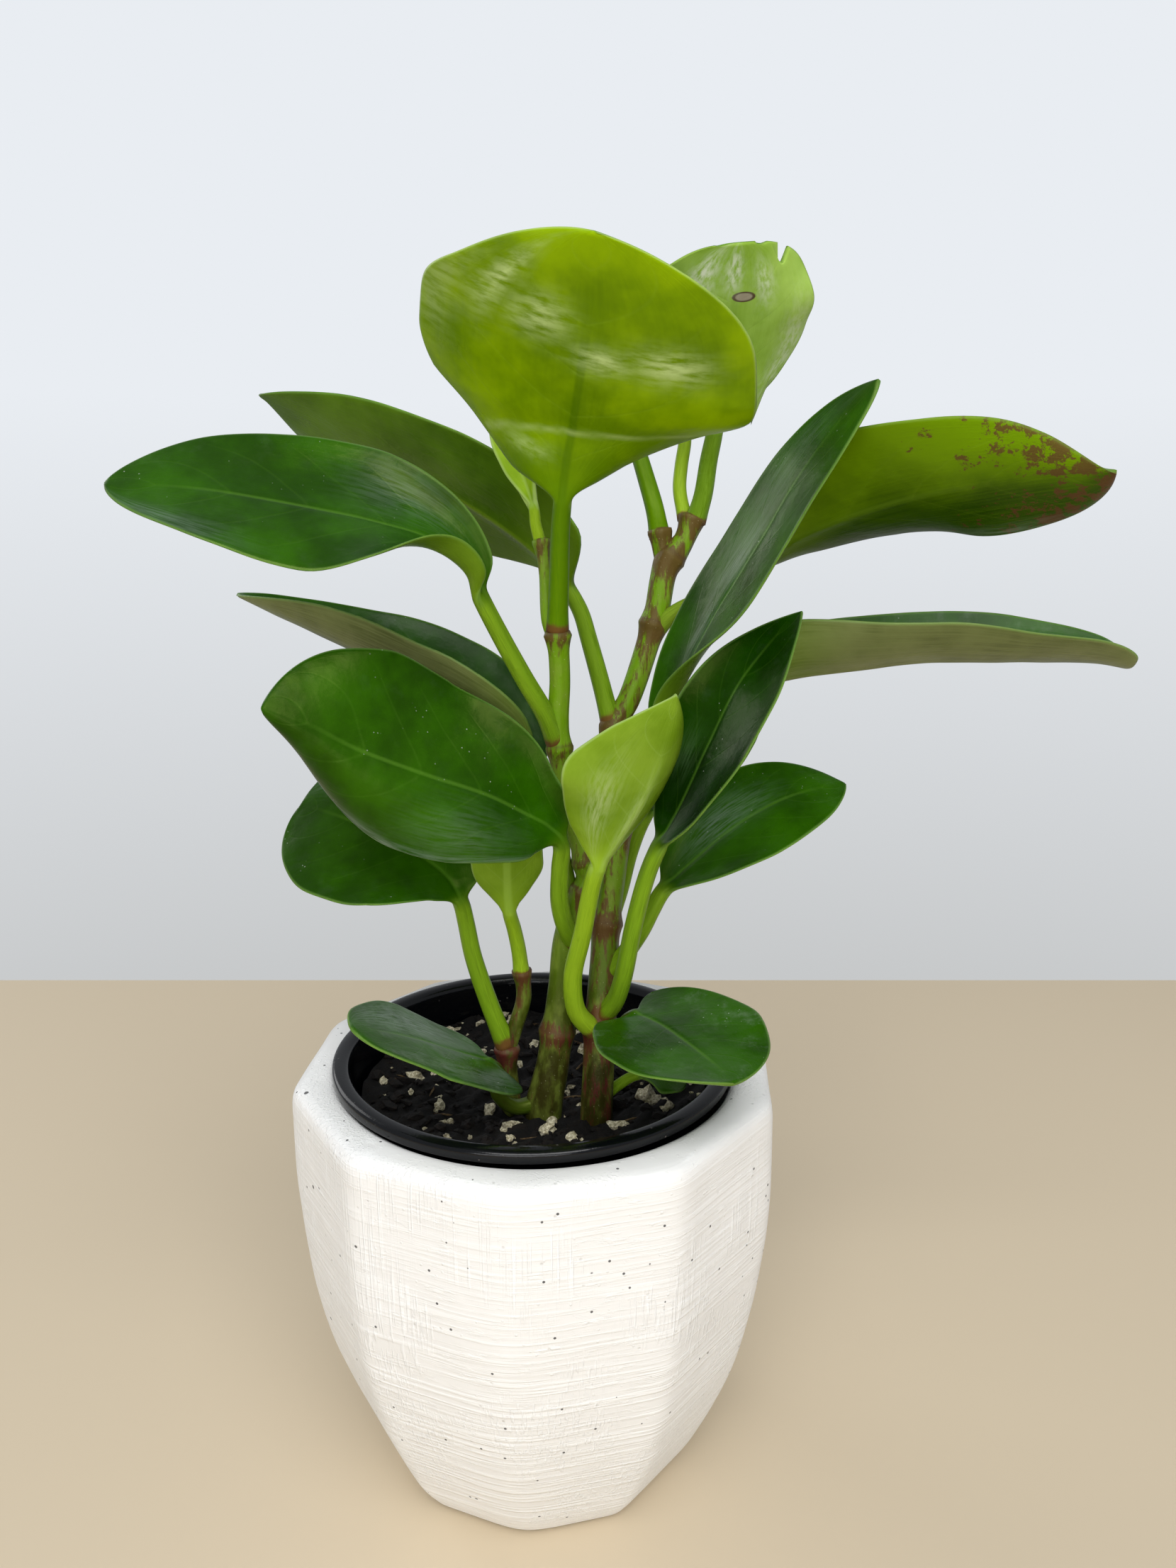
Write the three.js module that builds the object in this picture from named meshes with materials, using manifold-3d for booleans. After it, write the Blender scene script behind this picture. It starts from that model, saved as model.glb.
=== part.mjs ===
// Potted peperomia: a bushy plant in a black nursery pot whose lip rests in a ten-sided white cover pot.
// Millimetres, +Z up, +X to the right. The origin is the middle of the cover pot's flat underside.
import * as THREE from 'three';
import { mergeVertices } from 'three/addons/utils/BufferGeometryUtils.js';
import Module from 'manifold-3d';

const wasm = await Module();
wasm.setup();

// Clear gap that touching pieces keep
const SEAT_GAP = 0.3;

// Cover pot: ten flat sides that swell upwards, under a rounded shoulder and a nearly flat rim
const COVER_SIDES = 10;
const COVER_POINTS_PER_SIDE = 3;
const COVER_TURN_DEG = -4;
const COVER_FOOT_RADIUS = 41.5;
const COVER_BELLY_RADIUS = 66.3;
const COVER_BELLY_HEIGHT = 106;
const COVER_SWELL_POWER = 2.6;
const COVER_FOOT_BEVEL = 1.2;
const COVER_SIDE_RINGS = 7;
// Radius, height and roundness (0 ten-sided, 1 round) of the rings over the rim and down the inside
const COVER_RIM = [
  [66.2, 112.5, 0],
  [65.5, 114.6, 0.04],
  [63.8, 115.7, 0.12],
  [59.5, 116.0, 0.4],
  [55.0, 115.6, 0.9],
  [53.3, 114.8, 1],
  [52.4, 113.2, 1],
  [51.8, 104, 1],
  [50.5, 76, 1],
  [47.0, 48, 1],
  [41.0, 26, 1],
  [35.0, 13, 1],
  [31.0, 10, 1],
];

// Nursery pot: a tapered thin-walled pot with a thick lip
const NURSERY_OFFSET_X = -1;
const NURSERY_SEGMENTS = 36;
const LIP_RADIUS = 54;
const LIP_TOP = 119.4;
const LIP_UNDERSIDE = 116;
const LIP_INNER_RADIUS = 49.2;
const BODY_TOP_RADIUS = 50.2;
const BODY_FOOT_RADIUS = 37;
const BODY_FOOT_HEIGHT = 22;
const NURSERY_WALL = 1.4;
const DRAIN_HOLES = 6;
const DRAIN_RADIUS = 4;
const DRAIN_CIRCLE_RADIUS = 27;

// Potting mix: a slightly hollow, lumpy surface with pale grains half sunk in it
const SOIL_LEVEL = 109;
const SOIL_DISH = 2.2;
const SOIL_LUMP = 0.5;
const SOIL_SEGMENTS = 30;
const SOIL_RINGS = [0.93, 0.78, 0.6, 0.42, 0.22];
const GRAIN_COUNT = 26;
const GRAIN_SEED = 11;
const GRAIN_RADIUS_MIN = 0.9;
const GRAIN_RADIUS_MAX = 2.1;

// Stems: how finely they are made, and the swelling at each node
const STEM_SIDES = 9;
const STEM_STEP = 4.8;
const NODE_SWELL = 0.7;
const NODE_SWELL_LENGTH = 2.6;

// Leaves: fleshy blades on round petioles
const BLADE_THICK = 1.3;
const MARGIN_THICK = 0.75;
const PETIOLE_RADII = [2.5, 2.1];
const PETIOLE_STEP = 7;
const BLADE_STATIONS = [0.025, 0.055, 0.1, 0.15, 0.24, 0.35, 0.46, 0.57, 0.68, 0.79, 0.88, 0.95, 0.987];
const BLADE_FORM_LENGTH = 0.08;

// Share of the blade over which the base's lobes fade out
const LOBE_LENGTH = 0.45;
const LEAST_BEND = 1e-4;
const WIDE_LEAF = 43;
const POINTS_ACROSS_WIDE = 7;
const POINTS_ACROSS_NARROW = 5;

const COLOURS = {
  coverPot: { color: '#ecebe6', roughness: 0.8, metalness: 0 },
  nurseryPot: { color: '#15161a', roughness: 0.35, metalness: 0 },
  soil: { color: '#241c17', roughness: 0.95, metalness: 0 },
  stem: { color: '#7f8f4a', roughness: 0.5, metalness: 0 },
  leafDark: { color: '#2c5a16', roughness: 0.35, metalness: 0 },
  leafPale: { color: '#8ab22e', roughness: 0.4, metalness: 0 },
};

// Each stem is a list of branches: route points with the radius at each, and the heights of its nodes
const STEMS = {
  stem_front: [
    {
      route: [
        [1.5, -13, 95], [2, -13, 108], [4.5, -13, 120.5], [6, -12.5, 131.5], [7, -12, 142.5],
        [8, -12, 155.5], [11, -12, 165], [13.5, -12, 170.5], [13, -12, 176], [9.5, -12, 189],
        [7, -12, 202.5], [6.5, -12.5, 212], [7, -13, 222], [6.5, -14, 235],
      ],
      radii: [5, 5, 4.3, 4, 3.4, 3, 3, 2.9, 2.7, 2.6, 2.6, 2.6, 2.5, 2.5],
      nodes: [130, 168, 176, 205, 233],
    },
    {
      route: [[9.5, -12, 160], [9, -11, 170], [7.5, -10, 178], [6, -8.5, 187]],
      radii: [2, 1.7, 1.6, 1.6],
      nodes: [186],
    },
    {
      route: [[6.5, -14, 230], [4.3, -12.5, 236], [3.5, -10, 247], [2.5, -9, 256]],
      radii: [1.5, 1.6, 1.4, 1.5],
      nodes: [255],
    },
  ],
  stem_right: [
    {
      route: [
        [16, -16, 95], [16, -16, 108], [16.5, -15, 120], [17, -13, 133], [18, -10, 148],
        [18.5, -8, 158], [20.5, -5, 172], [22, -2, 184], [21.5, 1, 196], [20, 4, 206],
        [24.5, 6, 214.5], [29.5, 9, 229], [31.5, 10, 236], [34, 12, 248], [38.5, 13, 254.5],
        [41, 14, 261],
      ],
      radii: [4.3, 4.2, 4.1, 4, 3.7, 3.5, 3.2, 3, 2.9, 2.9, 2.9, 3, 3.2, 3.3, 2.7, 2.8],
      nodes: [131, 158, 183, 207, 233, 250, 260],
    },
    {
      route: [[34, 12, 246], [33, 13, 252], [32, 13.5, 258]],
      radii: [2.4, 2.6, 2.5],
      nodes: [257],
    },
  ],
  side_shoot: [
    {
      route: [[-6.5, -11, 95], [-6.5, -11, 107], [-7.3, -11, 118], [-7.5, -11, 126]],
      radii: [2.6, 2.6, 2.5, 2.6],
      nodes: [124],
    },
    {
      route: [[-7.5, -11, 123], [-5, -10.5, 131], [-3, -10, 138], [-3.4, -10.5, 147]],
      radii: [2, 2, 2, 1.9],
      nodes: [146],
    },
  ],
};

// Each leaf: petiole points from inside its stem to the blade, midrib points from there to the tip,
// width, place of the widest part, the way its upper face looks at the base and at the tip,
// how pointed the tip is (0.5 round), how slowly the base widens (flare), and the angle each half
// turns up at base, middle and tip (leftCup where the left half, seen from above, turns otherwise).
// leftShape is the left half's own widest place, flare and tip, and leftReach its width against the
// right half. lobes is how far the base of the left and of the right half reaches back, as on a
// heart. petioleRadii are a thinner petiole's radii at its foot and under the blade
const LEAVES = [
  {
    name: 'leaf_crown', stem: 'stem_front', pale: true,
    petiole: [[6.5, -14, 233.5], [7, -16.5, 246], [7.5, -20, 258]],
    midrib: [
      [8, -22, 263.5], [9, -25, 271.5], [10.5, -30, 279.5], [12.5, -40, 290], [14, -51, 301],
      [15, -61, 312.5],
    ],
    width: 81, widest: 0.42, flare: 0.78, tip: 0.64,
    face: [[2, 8, 4], [3, 8, 6]], cup: [40, 24, 14], leftCup: [72, 28, 14], leftShape: [0.42, 1.2, 0.66],
    leftReach: 0.94,
  },
  {
    name: 'leaf_top_right', stem: 'stem_right', pale: true,
    petiole: [[41.3, 13.8, 259], [43, 12, 265.5], [44, 9.5, 274]],
    midrib: [[45, 7, 280.5], [46, 2, 293.5], [47, -5, 305], [47.5, -10, 313], [47.5, -14, 320]],
    width: 45, widest: 0.6, flare: 1, tip: 0.36,
    face: [[-1, 9, 3], [-2, 9, 4]], cup: [50, 20, 8], leftCup: [50, 35, 25], leftShape: [0.55, 1, 0.45],
  },
  {
    name: 'leaf_behind_crown', stem: 'stem_right', pale: true,
    petiole: [[32.3, 13.5, 255], [31, 15, 262], [28.5, 19, 271]],
    midrib: [[26.5, 23, 278], [24, 32, 289], [22, 45, 299], [20, 60, 306]],
    width: 32, widest: 0.6, flare: 1, tip: 0.5,
    face: [[0, -6, 7], [0, -3, 9]], cup: [40, 20, 10],
  },
  {
    name: 'leaf_young_right', stem: 'stem_right', pale: true,
    petiole: [[38.8, 15, 259.5], [37.5, 18, 267], [38, 20.5, 273]],
    midrib: [[39, 23, 279], [39.5, 28, 287], [41, 35, 296.5], [42, 40, 304]],
    width: 13, widest: 0.5, flare: 1, tip: 0.7,
    face: [[0, -7, 5], [0, -6, 6]], cup: [60, 50, 30], petioleRadii: [1.8, 1.7],
  },
  {
    name: 'leaf_young_front', stem: 'stem_front', pale: true,
    petiole: [[2.6, -9, 253.5], [2, -9, 256], [1.3, -8.9, 259]],
    midrib: [[1, -8.7, 262], [-0.8, -7, 268], [-4.5, -3, 276], [-9.5, 1, 285]],
    width: 8.5, widest: 0.5, flare: 1, tip: 0.7,
    face: [[-4, -8, 3], [-3, -8, 4]], cup: [60, 45, 30], petioleRadii: [1.5, 1.3],
  },
  {
    name: 'leaf_left_upper', stem: 'stem_front', pale: false,
    petiole: [[6.5, -12, 205.5], [3.5, -15, 214], [-1.5, -18, 223.5], [-7, -21, 234.5]],
    midrib: [
      [-10.5, -23, 242], [-13.5, -25.5, 249.5], [-21, -28, 255.5], [-33, -31, 259.5], [-50, -33, 263],
      [-70, -35.5, 266.5], [-89, -38, 267.5],
    ],
    width: 44, widest: 0.52, flare: 0.8, tip: 0.7,
    face: [[3, -4, 7], [-1, -6, 8]], cup: [90, 22, 8], leftCup: [150, -8, 10], leftReach: 0.9,
  },
  {
    name: 'leaf_left_back', stem: 'stem_right', pale: false,
    petiole: [[20, 4, 207.5], [17, 7, 219], [14, 10, 229.5], [12, 12, 236]],
    midrib: [
      [9, 13.5, 241.5], [4.5, 15, 248], [-4.5, 18, 255.5], [-20, 22, 265.5], [-38, 25, 274.5],
      [-57, 28, 283], [-73, 30, 291.5],
    ],
    width: 44, widest: 0.55, flare: 1.2, tip: 1.3,
    face: [[6, 7, 5], [3, 4, 7]], cup: [20, -10, 0], leftCup: [0, 10, 8], leftShape: [0.36, 0.25, 0.8],
    leftReach: 1.02,
  },
  {
    name: 'leaf_left_middle', stem: 'stem_front', pale: false,
    petiole: [[6, -8.5, 184.5], [5.2, -7.5, 188], [3.8, -6.2, 192]],
    midrib: [
      [2.2, -4.8, 195.5], [-2.5, -2, 202], [-9.5, 0, 208.5], [-20.5, 3, 215], [-34, 6, 221.5],
      [-49, 9, 228], [-63, 12, 234.5], [-77.5, 14, 241],
    ],
    width: 48, widest: 0.38, flare: 0.8, tip: 0.85,
    face: [[4, 1, 9], [3, 0, 9]], cup: [100, 66, 50], leftCup: [70, 62, 50],
  },
  {
    name: 'leaf_left_front', stem: 'stem_front', pale: false,
    petiole: [[10.5, -12, 154], [8.5, -15.5, 159], [6.8, -19, 167.5], [7, -21.5, 177]],
    midrib: [
      [7.3, -23, 183.5], [4.5, -25, 188.5], [-1, -27.5, 192.5], [-9, -31, 197.5], [-23, -36, 203.5],
      [-37, -41, 210.5], [-47.5, -44, 217], [-56.5, -46, 221],
    ],
    width: 52, widest: 0.62, flare: 0.7, tip: 0.58,
    face: [[3, -7, 6], [-1, -8, 6]], cup: [70, 6, 0], leftCup: [-10, -80, -170],
    leftShape: [0.5, 0.65, 0.8], leftReach: 0.77,
  },
  {
    name: 'leaf_left_lower', stem: 'side_shoot', pale: false,
    petiole: [[-7.5, -11, 124.5], [-12, -12.5, 138.5], [-15.5, -14, 151.5], [-17, -15, 161]],
    midrib: [
      [-18, -16, 166.5], [-21, -15.5, 172.5], [-30, -13.5, 179], [-42.5, -9, 184], [-53, -4, 186.5],
      [-61, 1, 187],
    ],
    width: 46, widest: 0.55, flare: 0.7, tip: 0.5,
    face: [[2, -7, 7], [-1, -7, 7]], cup: [50, 12, 8],
  },
  {
    name: 'leaf_small_front', stem: 'side_shoot', pale: true,
    petiole: [[-3.4, -10.5, 145], [-4, -11, 151.5], [-5, -12.5, 158]],
    midrib: [
      [-6, -14.8, 163.5], [-6.2, -16.6, 169.5], [-6.2, -18, 177], [-6, -19, 185], [-5.5, -19.5, 191],
    ],
    width: 18.5, widest: 0.5, flare: 0.8, tip: 0.5,
    face: [[-1, 9, 2], [0, 9, 2]], cup: [40, 20, 10], petioleRadii: [2, 1.8],
  },
  {
    name: 'leaf_low_left', stem: 'stem_front', pale: false,
    petiole: [[1.8, -13, 110.5], [-5, -15.5, 110], [-9.5, -17, 114.5], [-9.5, -18.5, 121.5]],
    midrib: [[-11, -21, 125], [-18.5, -27, 131], [-26, -34, 137], [-33.5, -41, 142.5], [-40.5, -47, 147]],
    width: 30, widest: 0.45, flare: 0.5, tip: 0.5,
    face: [[3, 1, 9], [2, -2, 9]], cup: [20, 10, 8], leftCup: [-32, -6, 6], leftShape: [0.4, 0.35, 0.6],
    lobes: [17, 4], petioleRadii: [2.3, 1.7],
  },
  {
    name: 'leaf_low_right', stem: 'stem_right', pale: false,
    petiole: [[16.8, -13.5, 128], [19.5, -16.5, 131], [22, -19, 134]],
    midrib: [[25.5, -21.3, 138], [31, -29, 139.5], [38.5, -41.5, 139], [46.5, -56, 137.5]],
    width: 42, widest: 0.45, flare: 0.5, tip: 0.6,
    face: [[-1, -1, 9], [2, -3, 9]], cup: [20, 10, 8], lobes: [12, 9],
  },
  {
    name: 'leaf_low_hidden', stem: 'stem_right', pale: false,
    petiole: [[16, -15.5, 111], [21, -12.5, 114], [25, -11, 116]],
    midrib: [[27, -10.5, 116.5], [31, -10, 116.5], [36, -10, 115.5], [40, -10, 114]],
    width: 13, widest: 0.5, flare: 1, tip: 0.5,
    face: [[0, -3, 9], [2, -3, 9]], cup: [20, 8, 5], petioleRadii: [1.6, 1.4],
  },
  {
    name: 'leaf_pale_front', stem: 'stem_right', pale: true,
    petiole: [[16, -14.5, 130.5], [11, -19.5, 138.5], [10, -22.5, 149], [12.5, -26, 162], [14.5, -29, 174]],
    midrib: [
      [16, -30.5, 180], [19.5, -32, 186.5], [25, -34.5, 196], [29, -37, 205.5], [31.5, -39, 214.5],
      [33, -40, 223],
    ],
    width: 42, widest: 0.5, flare: 0.8, tip: 1.1,
    face: [[-4, 7, 4], [-3, 8, 2]], cup: [60, 20, 15], leftCup: [90, 100, 80], leftReach: 0.7,
  },
  {
    name: 'leaf_right_long', stem: 'stem_right', pale: false,
    petiole: [[21.8, -1.5, 184], [24, -3.5, 192], [27, -4.5, 199]],
    midrib: [
      [29.5, -4.5, 205], [34.5, -5, 216], [43, -10, 234], [53, -17, 253], [61.5, -22.5, 269],
      [69.5, -26.5, 281], [76.5, -29.5, 289.5],
    ],
    width: 31, widest: 0.5, flare: 0.6, tip: 0.75,
    face: [[-8, -3, 3], [-7, -4, 6]], cup: [140, 14, 10], leftCup: [40, 16, 10],
  },
  {
    name: 'leaf_right_back', stem: 'stem_right', pale: true,
    petiole: [[31, 9.5, 231], [35.5, 7.5, 236], [44, 7.5, 240.5]],
    midrib: [
      [53, 6.5, 247], [66, 1.5, 256], [80.5, -7.5, 262.5], [97.5, -19, 267], [114, -27, 270],
      [128, -33, 270.5],
    ],
    width: 49, widest: 0.38, flare: 0.9, tip: 1.3,
    face: [[-3, 8, 6], [-2, 8, 5]], cup: [50, 16, 10], leftShape: [0.68, 0.4, 0.45], leftReach: 0.76,
    petioleRadii: [2.1, 2.1],
  },
  {
    name: 'leaf_right_middle', stem: 'stem_right', pale: false,
    petiole: [
      [17.3, -13.3, 134.5], [20.5, -17.5, 140.5], [22.5, -21, 148.5], [25, -23.5, 163.5], [28, -25, 176.5],
    ],
    midrib: [
      [30.5, -26, 183.5], [36, -26.5, 194.5], [42, -26.5, 208.5], [48.5, -26.5, 222], [56, -25.5, 232],
      [63, -24, 239.5],
    ],
    width: 38, widest: 0.45, flare: 0.7, tip: 0.9,
    face: [[-8, -4, 4], [-8, -5, 4]], cup: [40, 20, 14], leftCup: [40, 66, 40], leftReach: 0.68,
  },
  {
    name: 'leaf_right_level', stem: 'stem_right', pale: false,
    petiole: [[21.5, 0.5, 190], [29.5, 3, 199], [40.5, 5, 209.5]],
    midrib: [
      [52.5, 5, 217], [65.5, 5, 220.5], [81, 4, 223], [102, 2, 225], [124.5, 0, 225.5], [141, -1, 225.2],
      [150, -2, 223.8],
    ],
    width: 40, widest: 0.2, flare: 0.3, tip: 0.32,
    face: [[-3, 3, 8], [0, 2, 9]], cup: [90, 36, 30], leftCup: [90, 90, 80], leftReach: 1.25,
  },
  {
    name: 'leaf_right_lower', stem: 'stem_right', pale: false,
    petiole: [[18, -10, 144], [23, -12.5, 151], [27.5, -12.5, 158], [30, -12, 163]],
    midrib: [[33, -11, 168], [42, -8.5, 176], [54, -5, 184.5], [66.5, -1, 190], [81, 3, 192.5]],
    width: 31, widest: 0.5, flare: 0.65, tip: 0.75,
    face: [[-3, -5, 7], [-1, -5, 8]], cup: [40, 12, 8],
  },
  {
    name: 'leaf_right_hidden', stem: 'stem_right', pale: false,
    petiole: [[18.6, -8, 157], [22, -2, 165], [25, 4, 174]],
    midrib: [[29, 9, 182], [36, 14, 190], [44.5, 19, 198], [53, 23, 204.5], [60, 26, 209]],
    width: 27, widest: 0.5, flare: 1, tip: 0.6,
    face: [[-3, -5, 6], [-1, -5, 7]], cup: [40, 12, 8],
  },
];

const toVector = ([x, y, z]) => new THREE.Vector3(x, y, z);

const toRadians = THREE.MathUtils.degToRad;

const mix = THREE.MathUtils.lerp;

function ringCentre(ring) {
  const sum = new THREE.Vector3();
  ring.forEach((point) => sum.add(point));
  return sum.divideScalar(ring.length);
}

// Joins equal rings of points into one closed skin with a fan over each end.
// A blade's lower half is split into triangles exactly as its upper half is.
function loft(rings, bladeRows = false) {
  const around = rings[0].length;
  const points = rings.flat();
  const foot = points.length;
  const top = foot + 1;
  points.push(ringCentre(rings[0]), ringCentre(rings.at(-1)));
  const faces = [];
  for (let row = 0; row + 1 < rings.length; row += 1) {
    for (let k = 0; k < around; k += 1) {
      const a = row * around + k;
      const b = row * around + ((k + 1) % around);
      const c = b + around;
      const d = a + around;
      if (bladeRows && k >= around / 2) {
        faces.push(a, b, d, b, c, d);
      } else {
        faces.push(a, b, c, a, c, d);
      }
    }
  }
  const last = (rings.length - 1) * around;
  for (let k = 0; k < around; k += 1) {
    const next = (k + 1) % around;
    faces.push(foot, next, k);
    faces.push(top, last + k, last + next);
  }
  const geometry = new THREE.BufferGeometry();
  const numbers = points.flatMap((point) => [point.x, point.y, point.z]);
  geometry.setAttribute('position', new THREE.Float32BufferAttribute(numbers, 3));
  geometry.setIndex(faces);
  return geometry;
}

function signedVolume(geometry) {
  const position = geometry.attributes.position;
  const index = geometry.index.array;
  const [a, b, c] = [new THREE.Vector3(), new THREE.Vector3(), new THREE.Vector3()];
  let volume = 0;
  for (let i = 0; i < index.length; i += 3) {
    a.fromBufferAttribute(position, index[i]);
    b.fromBufferAttribute(position, index[i + 1]);
    c.fromBufferAttribute(position, index[i + 2]);
    volume += a.dot(b.cross(c)) / 6;
  }
  return volume;
}

// Closed geometry to a solid, with its faces turned outwards
function toSolid(geometry) {
  const bare = geometry.clone();
  bare.deleteAttribute('normal');
  bare.deleteAttribute('uv');
  const merged = mergeVertices(bare, 1e-4);
  const triVerts = Uint32Array.from(merged.index.array);
  if (signedVolume(merged) < 0) {
    for (let i = 0; i < triVerts.length; i += 3) {
      [triVerts[i + 1], triVerts[i + 2]] = [triVerts[i + 2], triVerts[i + 1]];
    }
  }
  const vertProperties = Float32Array.from(merged.attributes.position.array);
  return new wasm.Manifold(new wasm.Mesh({ numProp: 3, vertProperties, triVerts }));
}

function toGeometry(solid) {
  const { vertProperties, triVerts } = solid.getMesh();
  const geometry = new THREE.BufferGeometry();
  geometry.setAttribute('position', new THREE.Float32BufferAttribute(vertProperties, 3));
  geometry.setIndex(Array.from(triVerts));
  return geometry;
}

// The one large piece of a cut solid, without the scraps that a cut leaves
function largestPiece(solid) {
  const pieces = solid.decompose();
  pieces.sort((a, b) => b.volume() - a.volume());
  return pieces[0];
}

// Cover pot

// Distance from the axis to the ten-sided ring at an angle, drawn towards a circle by roundness
function coverRadius(cornerRadius, roundness, angle) {
  const side = (2 * Math.PI) / COVER_SIDES;
  const fromCorner = ((angle % side) + side) % side;
  const flat = (cornerRadius * Math.cos(side / 2)) / Math.cos(fromCorner - side / 2);
  return mix(flat, cornerRadius * (roundness > 0.9 ? 1 : Math.cos(side / 4)), roundness);
}

function coverRing([cornerRadius, height, roundness]) {
  const count = COVER_SIDES * COVER_POINTS_PER_SIDE;
  return Array.from({ length: count }, (_, k) => {
    const angle = (2 * Math.PI * k) / count;
    const radius = coverRadius(cornerRadius, roundness, angle);
    const turned = angle + toRadians(COVER_TURN_DEG);
    return new THREE.Vector3(radius * Math.sin(turned), -radius * Math.cos(turned), height);
  });
}

function makeCoverPot() {
  const swell = (height) => {
    const below = (COVER_BELLY_HEIGHT - height) / COVER_BELLY_HEIGHT;
    return COVER_BELLY_RADIUS - (COVER_BELLY_RADIUS - COVER_FOOT_RADIUS) * below ** COVER_SWELL_POWER;
  };
  const rings = [[COVER_FOOT_RADIUS - COVER_FOOT_BEVEL, 0, 0]];
  for (let k = 0; k <= COVER_SIDE_RINGS; k += 1) {
    const height = mix(COVER_FOOT_BEVEL, COVER_BELLY_HEIGHT, k / COVER_SIDE_RINGS);
    rings.push([swell(height), height, 0]);
  }
  return toSolid(loft([...rings, ...COVER_RIM].map(coverRing)));
}

// Nursery pot

const bodyRadius = (height) => {
  const rise = (height - BODY_FOOT_HEIGHT) / (LIP_UNDERSIDE - BODY_FOOT_HEIGHT);
  return mix(BODY_FOOT_RADIUS, BODY_TOP_RADIUS, rise);
};

function makeNurseryPot() {
  const floor = BODY_FOOT_HEIGHT + NURSERY_WALL;
  const profile = [
    [0, BODY_FOOT_HEIGHT],
    [BODY_FOOT_RADIUS - 1.5, BODY_FOOT_HEIGHT],
    [BODY_FOOT_RADIUS, BODY_FOOT_HEIGHT + 1.5],
    [BODY_TOP_RADIUS, LIP_UNDERSIDE],
    [LIP_RADIUS - 0.5, LIP_UNDERSIDE],
    [LIP_RADIUS, LIP_UNDERSIDE + 0.8],
    [LIP_RADIUS, LIP_TOP - 1.4],
    [LIP_RADIUS - 0.8, LIP_TOP - 0.3],
    [LIP_RADIUS - 2, LIP_TOP],
    [LIP_INNER_RADIUS + 1, LIP_TOP - 0.3],
    [LIP_INNER_RADIUS, LIP_TOP - 1.2],
    [BODY_TOP_RADIUS - NURSERY_WALL, LIP_UNDERSIDE - 1],
    [bodyRadius(floor) - NURSERY_WALL, floor],
    [0, floor],
  ];
  const points = profile.map(([radius, height]) => new THREE.Vector2(radius, height));
  const lathe = new THREE.LatheGeometry(points, NURSERY_SEGMENTS);
  lathe.rotateX(Math.PI / 2);
  lathe.translate(NURSERY_OFFSET_X, 0, 0);
  let pot = toSolid(lathe);
  for (let k = 0; k < DRAIN_HOLES; k += 1) {
    const angle = (2 * Math.PI * k) / DRAIN_HOLES;
    const drill = new THREE.CylinderGeometry(DRAIN_RADIUS, DRAIN_RADIUS, 4 * NURSERY_WALL, 12);
    drill.rotateX(Math.PI / 2);
    drill.translate(
      NURSERY_OFFSET_X + DRAIN_CIRCLE_RADIUS * Math.cos(angle),
      DRAIN_CIRCLE_RADIUS * Math.sin(angle),
      BODY_FOOT_HEIGHT + NURSERY_WALL / 2,
    );
    pot = pot.subtract(toSolid(drill));
  }
  return pot;
}

// Stems

// Round branch along a curve through its route, thicker at its nodes; grow widens it all round
function makeBranch({ route, radii, nodes }, grow = 0) {
  const curve = new THREE.CatmullRomCurve3(route.map(toVector), false, 'centripetal');
  const steps = Math.ceil(curve.getLength() / STEM_STEP);
  const rings = [];
  let normal = new THREE.Vector3(0, -1, 0);
  for (let k = 0; k <= steps; k += 1) {
    const t = k / steps;
    const centre = curve.getPoint(t);
    const tangent = curve.getTangent(t);
    if (grow && (k === 0 || k === steps)) {
      centre.addScaledVector(tangent, k === 0 ? -grow : grow);
    }
    const along = t * (radii.length - 1);
    const before = Math.min(Math.floor(along), radii.length - 2);
    let radius = mix(radii[before], radii[before + 1], along - before) + grow;
    nodes.forEach((height) => {
      radius += NODE_SWELL * Math.exp(-(((centre.z - height) / NODE_SWELL_LENGTH) ** 2));
    });
    normal = normal.clone().addScaledVector(tangent, -normal.dot(tangent)).normalize();
    const side = new THREE.Vector3().crossVectors(tangent, normal);
    rings.push(Array.from({ length: STEM_SIDES }, (_, j) => {
      const angle = (2 * Math.PI * j) / STEM_SIDES;
      return centre.clone()
        .addScaledVector(normal, radius * Math.cos(angle))
        .addScaledVector(side, radius * Math.sin(angle));
    }));
  }
  return toSolid(loft(rings));
}

function makeStem(branches, grow = 0) {
  return branches.map((branch) => makeBranch(branch, grow)).reduce((whole, branch) => whole.add(branch));
}

// Leaves

const smooth = (x) => THREE.MathUtils.smoothstep(x, 0, 1);

// Share of the full width at a place along the blade, 0 at its base and 1 at its tip
function bladeOutline(t, [widest, flare, tip]) {
  if (t < widest) {
    return Math.sin((Math.PI / 2) * (t / widest)) ** flare;
  }
  return (1 - ((t - widest) / (1 - widest)) ** 2.2) ** tip;
}

// Value of a base, middle and tip triple at a place along the blade
function alongTriple([base, middle, tip], t) {
  return t < 0.5 ? mix(base, middle, smooth(t * 2)) : mix(middle, tip, smooth(t * 2 - 1));
}

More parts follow.
